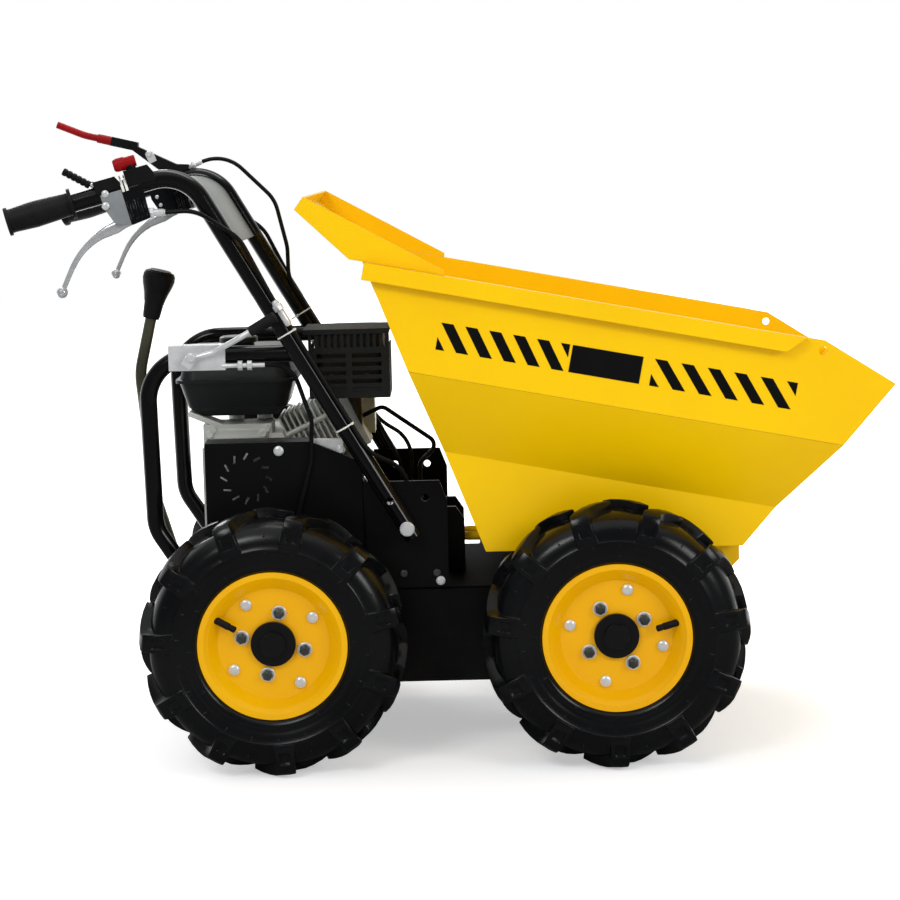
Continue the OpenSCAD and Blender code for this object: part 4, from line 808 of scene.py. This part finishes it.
# Each group: start and end along the rim, first stripe, pitch, width, lean
STRIPE_GROUPS = [
    (130.0, 329.0, 95.6, 36.5, 18.5, 29.5), (457.0, 678.0, 418.0, 40.5, 19.2, 34.8),
]
PLATE_FROM, PLATE_TO = 333.2, 441.3


def on_side(along, down, side):
    spot = RIM_REAR + RIM_ALONG * along + RIM_DOWN * down
    return at(spot.x, side * (SKIP_HALF + STRIPE_GAP), spot.z)


def make_film(left, right, lean, side):
    """A flat film on a skip side, from its left and right edge on top and its lean."""
    corners = [
        (left + lean, STRIPE_LOW), (right + lean, STRIPE_LOW), (left, STRIPE_TOP),
        (right, STRIPE_TOP),
    ]
    clear()
    bpy.ops.mesh.primitive_plane_add(size=1)
    piece = bpy.context.object
    for vertex, corner in zip(piece.data.vertices, corners):
        vertex.co = on_side(*corner, side)
    return piece


def trim(piece, along, side, aim):
    """Cuts a film off square to the rim and keeps what lies in the direction of the aim."""
    edit_all(piece)
    bpy.ops.mesh.bisect(
        plane_co=on_side(along, 0, side), plane_no=aim, clear_inner=True, use_fill=False
    )
    object_mode()


def make_stripes(side):
    films = []
    for start, end, first, pitch, width, lean in STRIPE_GROUPS:
        for index in range(STRIPE_COUNT):
            left = first + pitch * index
            film = make_film(left, left + width, lean, side)
            trim(film, start, side, RIM_ALONG)
            trim(film, end, side, -RIM_ALONG)
            if len(film.data.polygons):
                films.append(film)
            else:
                bpy.data.objects.remove(film)
    return joined(films)


for side, word in ((-1, "right"), (1, "left")):
    stripes = make_stripes(side)
    plate = make_film(PLATE_FROM, PLATE_TO, 0.0, side)
    for piece, name, thick in (
        (stripes, "hazard_stripes", STRIPE_THICK), (plate, "blank_plate", PLATE_THICK),
    ):
        edit_all(tidy_shell(piece))
        push(SIDEWAYS * side, thick)
        soften(tidy_shell(piece), 0.1, segments=1)
        deliver(piece, word + "_" + name, stripe_black, "skip")


# Steering levers: blades that narrow to a ball

LEVER_LINE = [at(-462, 0, 852), at(-538, 0, 825), at(-575, 0, 745)]
LEVER_BEND = 120.0
LEVER_OUT = 229.6
# From the right lever to the left one, along and up
LEVER_STEP = Vector((16.45, 0, 4.3)) * MM
LEVER_WIDTHS = [11, 13, 19, 18, 14.5, 12, 10.5, 9.6, 9, 8.6, 8.2, 8, 8]
LEVER_DEPTHS = [10, 10.5, 11, 11, 10.5, 10, 9.6, 9.2, 8.8, 8.4, 8, 7.8, 7.6]
# Under 1 the section is fuller than an ellipse
LEVER_FULLNESS = 0.62
LEVER_SIDES = 20
BALL_RADIUS = 9.0


def bent_line(corners, radius, steps=8):
    """Places along a line of corners, its bends rounded."""
    line = [corners[0]]
    for before, corner, after in zip(corners, corners[1:], corners[2:]):
        into, away = (corner - before).normalized(), (after - corner).normalized()
        turn = into.angle(away)
        inward = (away - into * into.dot(away)).normalized()
        start = corner - into * radius * MM * math.tan(turn / 2)
        for step in range(steps + 1):
            angle = turn * step / steps
            reached = into * math.sin(angle) + inward * (1 - math.cos(angle))
            line.append(start + reached * radius * MM)
    return line + [corners[-1]]


def spaced(line, count):
    """Evenly spaced places along a line."""
    reach = [0.0]
    for here, there in zip(line, line[1:]):
        reach.append(reach[-1] + (there - here).length)
    places = []
    for index in range(count):
        wanted = reach[-1] * index / (count - 1)
        low = max(step for step in range(len(line) - 1) if reach[step] <= wanted + 1e-9)
        share = (wanted - reach[low]) / (reach[low + 1] - reach[low])
        places.append(line[low].lerp(line[low + 1], share))
    return places


def make_blade():
    """A bar pushed out place by place, then laid along the lever's line."""
    line = spaced(bent_line(LEVER_LINE, LEVER_BEND), len(LEVER_WIDTHS))
    last = len(line) - 1
    clear()
    bpy.ops.mesh.primitive_cylinder_add(
        vertices=LEVER_SIDES, radius=1, depth=1, location=(0, 0, 0.5)
    )
    piece = settle(bpy.context.object)
    lengthen(piece, UP, last)
    for vertex in piece.data.vertices:
        index = round(vertex.co.z)
        ahead = (line[min(index + 1, last)] - line[max(index - 1, 0)]).normalized()
        across = ahead.cross(SIDEWAYS).normalized()
        side = ahead.cross(across)
        u, v = [math.copysign(abs(value) ** LEVER_FULLNESS, value) for value in vertex.co[:2]]
        reach = across * u * LEVER_WIDTHS[index] + side * v * LEVER_DEPTHS[index]
        vertex.co = line[index] + reach * MM / 2
    return smooth(tidy_shell(piece), SMOOTH_BARS)


def make_ball():
    """The ball at a lever's end, with a shallow dish on both sides."""
    clear()
    bpy.ops.mesh.primitive_uv_sphere_add(
        segments=28, ring_count=18, radius=BALL_RADIUS * MM, location=LEVER_LINE[-1]
    )
    ball = settle(bpy.context.object)
    for way in (RIGHT, SIDEWAYS):
        pick(ball, facing(way, 0.93))
        inset(0.5, -0.5)
        object_mode()
    return smooth(ball)


lever = joined([make_blade(), make_ball()])
near_lever = moved(twin(lever), Matrix.Translation(RIGHT * LEVER_OUT * MM))
far_lever = moved(lever, Matrix.Translation(LEVER_STEP + SIDEWAYS * LEVER_OUT * MM))
levers = deliver(
    joined([near_lever, far_lever]), "steering_lever_blades", lever_chrome, "chassis",
)
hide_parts("steering_levers")


# Small fasteners, sleeves and ties


def make_hex_bolt(place, out, size):
    """Hexagon head on a washer, seated at a place and pointing out."""
    washer = start_round(size * 0.72, size * 0.16, place + out * size * 0.08 * MM, out, 36)
    step_face(washer, out, (size * 0.05, size * 0.02))
    head = start_round(size * 0.56, size * 0.42, place + out * size * 0.37 * MM, out, 6)
    step_face(head, out, (size * 0.08, size * 0.05), (size * 0.12, -size * 0.03))
    return joined([soften(washer, size * 0.02), soften(head, size * 0.03)])


def make_dome(place, out, size):
    """Low dome head seated at a place and pointing out."""
    head = start_round(size * 0.5, size * 0.2, place + out * size * 0.1 * MM, out)
    step_face(
        head, out, (size * 0.09, size * 0.085), (size * 0.12, size * 0.05),
        (size * 0.13, size * 0.02),
    )
    return soften(head, size * 0.03)


def make_sleeve(start, end, radius, nut_share):
    """Turned sleeve over a cable with a hexagon nut on it."""
    along = (end - start).normalized()
    length = (end - start).length / MM
    sleeve = start_round(radius, length, (start + end) / 2, along)
    for way in (along, -along):
        pick(sleeve, facing(way))
        inset(radius * 0.18)
        push(way, radius * 0.4)
    nut = start_round(radius * 1.5, length * 0.24, start.lerp(end, nut_share), along, 6)
    for way in (along, -along):
        step_face(nut, way, (radius * 0.2, radius * 0.12))
    return joined([soften(sleeve, 0.3), soften(nut, 0.3)])


TIE_LIFT = 0.4
TIE_THICK = 1.2
LOCK_LIFT = 2.4
LOCK_HEIGHT = 4.6
TAIL_LENGTH = 13.0


def make_tie(centre, along, rounds, lock_turn, width):
    """Narrow strap drawn round a tube and what lies beside it, with its lock and its tail.

    Rounds holds the offset and radius of each thing inside it.
    """
    first = along.cross(SIDEWAYS).normalized()
    second = along.cross(first)

    def drawn(angle, lift):
        out = first * math.cos(angle) + second * math.sin(angle)
        offset, radius = max(rounds, key=lambda pair: pair[0].dot(out) + pair[1] * MM)
        return centre + offset + out * (radius + lift) * MM, out

    clear()
    bpy.ops.mesh.primitive_cylinder_add(vertices=56, radius=1, depth=1, end_fill_type="NOTHING")
    strap = bpy.context.object
    for vertex in strap.data.vertices:
        place = drawn(math.atan2(vertex.co.y, vertex.co.x), TIE_LIFT)[0]
        vertex.co = place + along * vertex.co.z * width * MM
    tidy_shell(strap)
    modify(strap, "SOLIDIFY", thickness=TIE_THICK * MM, offset=1.0)
    place, out = drawn(math.radians(lock_turn), LOCK_LIFT)
    lock = start_round(1.4 + width * 0.5, LOCK_HEIGHT, place, out, 4)
    step_face(lock, out, (0.8, -0.8))
    tail_way = out.cross(along)
    tail = start_round(1.5, TAIL_LENGTH, place + tail_way * 7.5 * MM, tail_way, 4)
    pick(tail, facing(tail_way))
    push(tail_way, 3)
    resize(0.5)
    return joined([soften(strap, 0.2), soften(lock, 0.4), soften(tail, 0.2)])


# Legs of the handle: their direction, what is in front of them, their foot and their slope
LEG_UP = Vector((-0.5038, 0, 0.8638)).normalized()
LEG_FRONT = Vector((0.8638, 0, 0.5038))
LEG_FOOT_X, LEG_FOOT_Z = -55, 364.6
LEG_SLOPE = 0.58320
HANDLE_HALF = 215.0
# Bars of the handle: direction to the grip by side, the bend they start at, how they splay and rise
BAR_BACK = {side: Vector((-263, side * 40, -68.7)).normalized() for side in (-1, 1)}
BAR_X, BAR_Z = -382.0, 925.3
BAR_SPLAY = 0.15209
BAR_RISE = 0.26122
TUBE = 14.0
CABLE = 3.5
# How far forward and outward a cable lies that runs along a leg
BESIDE = (TUBE + CABLE + 0.3) / math.sqrt(2)
TOWER_FACE = -200.7
BELT_FACE = -196.4
HOUSING_IN = Vector((-0.15, -0.99, 0.0)).normalized()
BAR_TIE, LEG_TIE = 4.0, 2.4


def on_leg(height, side):
    return at(LEG_FOOT_X - (height - LEG_FOOT_Z) * LEG_SLOPE, side * HANDLE_HALF, height)


def on_bar(along, side):
    behind = along - BAR_X
    return at(along, side * (HANDLE_HALF - behind * BAR_SPLAY), BAR_Z + behind * BAR_RISE)


def beside_leg(forward, outward, side):
    return (LEG_FRONT * forward + SIDEWAYS * side * outward) * MM


lever_cable = {side: (beside_leg(BESIDE, BESIDE, side), CABLE) for side in (-1, 1)}
dead_cable = (beside_leg(BESIDE, -BESIDE, 1), CABLE)
tube = (Vector((0, 0, 0)), TUBE)
ties = [
    make_tie(on_bar(-475.4, -1), BAR_BACK[-1], [tube], 250, BAR_TIE),
    make_tie(on_bar(-469.6, -1), BAR_BACK[-1], [tube], 255, BAR_TIE),
    make_tie(on_leg(672, -1), LEG_UP, [tube, lever_cable[-1]], 130, LEG_TIE),
    make_tie(on_leg(525, -1), LEG_UP, [tube, lever_cable[-1]], 110, LEG_TIE),
    make_tie(on_leg(676, 1), LEG_UP, [tube, lever_cable[1], dead_cable], 60, LEG_TIE),
]
deliver(joined(ties), "cable_ties", tie_white, "chassis")

# Bolts of the belt guard, the two of the right lever housing, the tower, the two of the left lever
# housing, the dead man lever and the brake lever, then the plates under the last two
bolts = [
    make_dome(at(-253.7, BELT_FACE, 487.8), RIGHT, 16),
    make_dome(on_bar(-500, -1) + RIGHT * (TUBE - 0.4) * MM, RIGHT, 11),
    make_dome(at(-499.7, -247.6, 876), RIGHT, 12),
    make_hex_bolt(at(-5.0, TOWER_FACE, 276.5), RIGHT, 10),
    make_dome(at(-480, 214.7, 881), HOUSING_IN, 7),
    make_dome(at(-474, 213.9, 867), HOUSING_IN, 7),
    make_hex_bolt(at(-490.5, 212.0, 955), RIGHT, 8),
    make_hex_bolt(at(-381, -227.2, 639), RIGHT, 11),
]
dead_plate = start_block((14, 2, 19), at(-488, 212.9, 949), (0, math.radians(-24), 0))
step_face(dead_plate, RIGHT, (2.2, 0.4))
diamond = start_block((17, 1.8, 17), at(-386, -226.4, 632.5), (0, math.radians(38), 0))
step_face(diamond, RIGHT, (1.0, 0.2))
bolts += [soften(dead_plate, 0.6), soften(diamond, 0.4)]
deliver(joined(bolts), "frame_bolts", zinc_steel, "chassis")
tower_nuts = [make_hex_bolt(at(along, TOWER_FACE, 289), RIGHT, 8) for along in (-62.5, -10.6)]
deliver(joined(tower_nuts), "tower_nuts", nut_steel, "chassis")


# Neck under the stop button and knuckle of the throttle tab, set out along the right bar

BAR_FRONT = -BAR_BACK[-1]
BAR_UP = (UP - BAR_FRONT * BAR_FRONT.z).normalized()
BAR_SIDE = BAR_UP.cross(BAR_FRONT)


def off_bar(along, front, up):
    return on_bar(along, -1) + (BAR_FRONT * front + BAR_UP * up) * MM


NECK_PLACE = off_bar(-447, -9, 29.0)
TAB_PLACE = off_bar(-496, -20.4, 18.8)
button_neck = start_round(8.0, 8.0, NECK_PLACE, BAR_UP)
pick(button_neck, facing(BAR_UP))
inset(1.6)
push(BAR_UP, 2.0)
tab_knuckle = start_round(4.6, 15.0, TAB_PLACE, BAR_SIDE)
for way in (BAR_SIDE, -BAR_SIDE):
    step_face(tab_knuckle, way, (0.9, 0.8))
knuckles = joined([soften(button_neck, 0.5), soften(tab_knuckle, 0.4)])
deliver(knuckles, "control_knuckles", plastic_black, "chassis")
tab_rivet = make_dome(TAB_PLACE - BAR_SIDE * 8.2 * MM, -BAR_SIDE, 7)
deliver(tab_rivet, "throttle_rivet", zinc_steel, "chassis")


# Rail and sloping arm on the crankcase, the stay of the belt guard, and the muffler guard's lip

RAIL_HEIGHT = 503.5
rail = start_block((102, 3.4, 15), at(-328.5, -91.5, RAIL_HEIGHT))
step_face(rail, RIGHT, (3.0, -0.8))
rail_bolts = [make_hex_bolt(at(along, -92.4, RAIL_HEIGHT), RIGHT, 11) for along in (-371.7, -285.2)]
arm = start_block((66, 44, 9), at(-375, -66, 525), (0, math.radians(22.5), 0))
step_face(arm, (0.38, 0, 0.92), (5.0, -1.5), (7.0, 1.0))
rail_pieces = [soften(rail, 1.0), soften(arm, 1.6)] + rail_bolts
deliver(joined(rail_pieces), "crankcase_rail", engine_alloy, "chassis")
stay = start_block((49, 2.5, 27), at(-177, -186, 491))
step_face(stay, RIGHT, (2.0, 0.3))
stay_bolt = make_hex_bolt(at(-157, -187.4, 486.5), RIGHT, 10)
stay_pieces = [soften(stay, 0.6), stay_bolt]
deliver(joined(stay_pieces), "belt_guard_stay", zinc_steel, "chassis")
lip = start_block((118, 1.2, 19.0), at(-142, -137.6, 572.0))
pick(lip, facing(-UP))
push(SIDEWAYS, 6)
deliver(soften(lip, 0.3), "muffler_guard_lip", guard_black, "chassis")


# Adjusters of the control cables: one down the right leg, one at each lever, one at the dead man's

LEVER_CABLE_FROM = at(-455, 0, 864)
LEVER_CABLE_TO = at(-414, 0, 864)
right_out = RIGHT * LEVER_OUT * MM
left_out = SIDEWAYS * LEVER_OUT * MM + LEVER_STEP
leg_run = on_leg(730.3, -1) + beside_leg(BESIDE, BESIDE, -1)
dead_start, dead_next = at(-421.9, 221.4, 931.8), at(-362, 226, 954)
dead_way = (dead_next - dead_start).normalized()
sleeves = [
    make_sleeve(leg_run - LEG_UP * 16 * MM, leg_run - LEG_UP * 56 * MM, 5.6, 0.25),
    make_sleeve(LEVER_CABLE_FROM + right_out, LEVER_CABLE_TO + right_out, 5.6, 0.5),
    make_sleeve(LEVER_CABLE_FROM + left_out, LEVER_CABLE_TO + left_out, 5.6, 0.5),
    make_sleeve(dead_start + dead_way * MM, dead_start + dead_way * 20 * MM, 4.8, 0.3),
]
deliver(joined(sleeves), "cable_adjusters", zinc_steel, "chassis")


# Cap and ring of the gear knob, and the flange that closes the belt guard behind the tower

KNOB_UP = Vector((0.2346, 0, 0.9721))
KNOB_TOP = at(-459, -90, 693) + KNOB_UP * 77 * MM
cap = start_round(17.0, 1.6, KNOB_TOP + KNOB_UP * 0.8 * MM, KNOB_UP, 48)
step_face(cap, KNOB_UP, (1.2, 0.4), (1.0, -0.5), (6.0, 0.3))
deliver(soften(cap, 0.3), "gear_knob_cap", engine_black, "chassis")
clear()
bpy.ops.mesh.primitive_torus_add(
    major_segments=56, minor_segments=10, major_radius=17.3 * MM, minor_radius=0.7 * MM,
    location=KNOB_TOP + KNOB_UP * 0.9 * MM, rotation=turned(KNOB_UP),
)
ring = settle(bpy.context.object)
modify(ring, "SUBSURF", levels=1, render_levels=1)
deliver(ring, "gear_knob_ring", lever_chrome, "chassis")

guard_flange = start_block((15, 2, 164), at(-117, -195.4, 354))
pick(guard_flange, facing(AHEAD))
push(SIDEWAYS, 10)
deliver(soften(guard_flange, 0.4), "belt_guard_flange", frame_black, "chassis")


# Floor, background, lights and camera

WHITE = (1, 1, 1, 1)
FLOOR_TONE = (0.86, 0.86, 0.86, 1)
# Tone of the floor in front of the object as reflections see it
FLOOR_MIRRORED_TONE = (0.16, 0.16, 0.16, 1)
# Strength of the background as a light, and how much less of it reflections see in front
AMBIENT = 0.68
AMBIENT_LESS = 0.56

clear()
bpy.ops.mesh.primitive_plane_add(size=24, location=(0, 0, 0))
floor = bpy.context.object
floor.name = "floor"
floor_white = bpy.data.materials.new("floor_white")
floor_white.use_nodes = True
ground = floor_white.node_tree
ground.nodes.clear()
ground_place = own_place(ground)
ground_reach = put(
    ground, "ShaderNodeVectorMath", operation="LENGTH", I0=ground_place
).outputs["Value"]
rays = put(ground, "ShaderNodeLightPath").outputs
behind = band(ground, part_of(ground, ground_place, "Y"), 0.0, 1.2)
mirrored_behind = calc(ground, "MULTIPLY", rays["Is Glossy Ray"], behind)
mirrored_front = calc(ground, "SUBTRACT", rays["Is Glossy Ray"], mirrored_behind)
direct = calc(ground, "MAXIMUM", rays["Is Camera Ray"], rays["Is Transmission Ray"])
lit = calc(ground, "MAXIMUM", direct, mirrored_behind)
lift = calc(ground, "MULTIPLY", lit, band(ground, ground_reach, 0.5, 1.6, 0.42, 1.0))
ground_tone = blend_colours(ground, mirrored_front, FLOOR_TONE, FLOOR_MIRRORED_TONE)
matt = put(ground, "ShaderNodeBsdfPrincipled", Base_Color=ground_tone, Roughness=0.95).outputs[0]
glow = put(ground, "ShaderNodeEmission", Color=WHITE, Strength=lift).outputs[0]
ground_sum = put(ground, "ShaderNodeAddShader", I0=matt, I1=glow).outputs[0]
put(ground, "ShaderNodeOutputMaterial", Surface=ground_sum)
floor.data.materials.append(floor_white)

world = bpy.data.worlds.new("studio")
bpy.context.scene.world = world
world.use_nodes = True
sky = world.node_tree
sky.nodes.clear()
rays = put(sky, "ShaderNodeLightPath").outputs
sky_way = put(sky, "ShaderNodeTexCoord").outputs["Generated"]
far_side = band(sky, part_of(sky, sky_way, "Y"), 0.1, 0.6)
overhead = band(sky, part_of(sky, sky_way, "Z"), 0.6, 0.9, 0.0, 0.8)
backdrop = calc(sky, "MAXIMUM", far_side, overhead)
mirrored = calc(sky, "MULTIPLY", rays["Is Glossy Ray"], backdrop)
indirect = calc(sky, "MAXIMUM", mirrored, rays["Is Transmission Ray"])
seen = calc(sky, "MAXIMUM", rays["Is Camera Ray"], indirect)
less = calc(sky, "MULTIPLY", rays["Is Glossy Ray"], AMBIENT_LESS)
ambient = calc(sky, "SUBTRACT", AMBIENT, less)
soft = put(sky, "ShaderNodeBackground", Color=WHITE, Strength=ambient).outputs[0]
white = put(sky, "ShaderNodeBackground", Color=WHITE, Strength=1.0).outputs[0]
both = put(sky, "ShaderNodeMixShader", I0=seen, I1=soft, I2=white).outputs[0]
put(sky, "ShaderNodeOutputWorld", Surface=both)

# Each softbox: place, target, size, power
SOFTBOXES = {
    "key_light": ((-1.6, -3.2, 3.0), (0, 0, 0.4), (1.4, 1.0), 40),
    "fill_light": ((2.6, -2.6, 1.8), (0.1, 0, 0.4), (1.2, 1.2), 32),
    "top_light": ((0.2, 0.6, 3.6), (0, 0, 0.3), (2.2, 1.2), 38),
    "back_light": ((-1.5, 3.0, 2.2), (0, 0, 0.5), (1.6, 1.0), 32),
}
for name, (place, target, size, power) in SOFTBOXES.items():
    lamp_data = bpy.data.lights.new(name, "AREA")
    lamp_data.shape = "RECTANGLE"
    lamp_data.size, lamp_data.size_y = size
    lamp_data.energy = power
    lamp = bpy.data.objects.new(name, lamp_data)
    bpy.context.scene.collection.objects.link(lamp)
    lamp.location = place
    lamp.rotation_euler = (Vector(target) - Vector(place)).to_track_quat("-Z", "Y").to_euler()

CAMERA_PLACE = at(20.0, -3701.5, 939.8)
CAMERA_PITCH = math.radians(7.43)
CAMERA_YAW = math.radians(-0.09)
CAMERA_ROLL = math.radians(1.384)
FOCAL_PIXELS = 2258.2
PICTURE_PIXELS = 900.0
SENSOR = 36.0
camera_data = bpy.data.cameras.new("photo_camera")
camera_data.sensor_width = SENSOR
camera_data.lens = FOCAL_PIXELS / PICTURE_PIXELS * SENSOR
camera = bpy.data.objects.new("photo_camera", camera_data)
bpy.context.scene.collection.objects.link(camera)
camera.matrix_world = (
    Matrix.Translation(CAMERA_PLACE)
    @ Matrix.Rotation(-CAMERA_YAW, 4, "Z")
    @ Matrix.Rotation(math.pi / 2 - CAMERA_PITCH, 4, "X")
    @ Matrix.Rotation(-CAMERA_ROLL, 4, "Z")
)
bpy.context.scene.camera = camera
bpy.context.scene.view_settings.view_transform = "Standard"
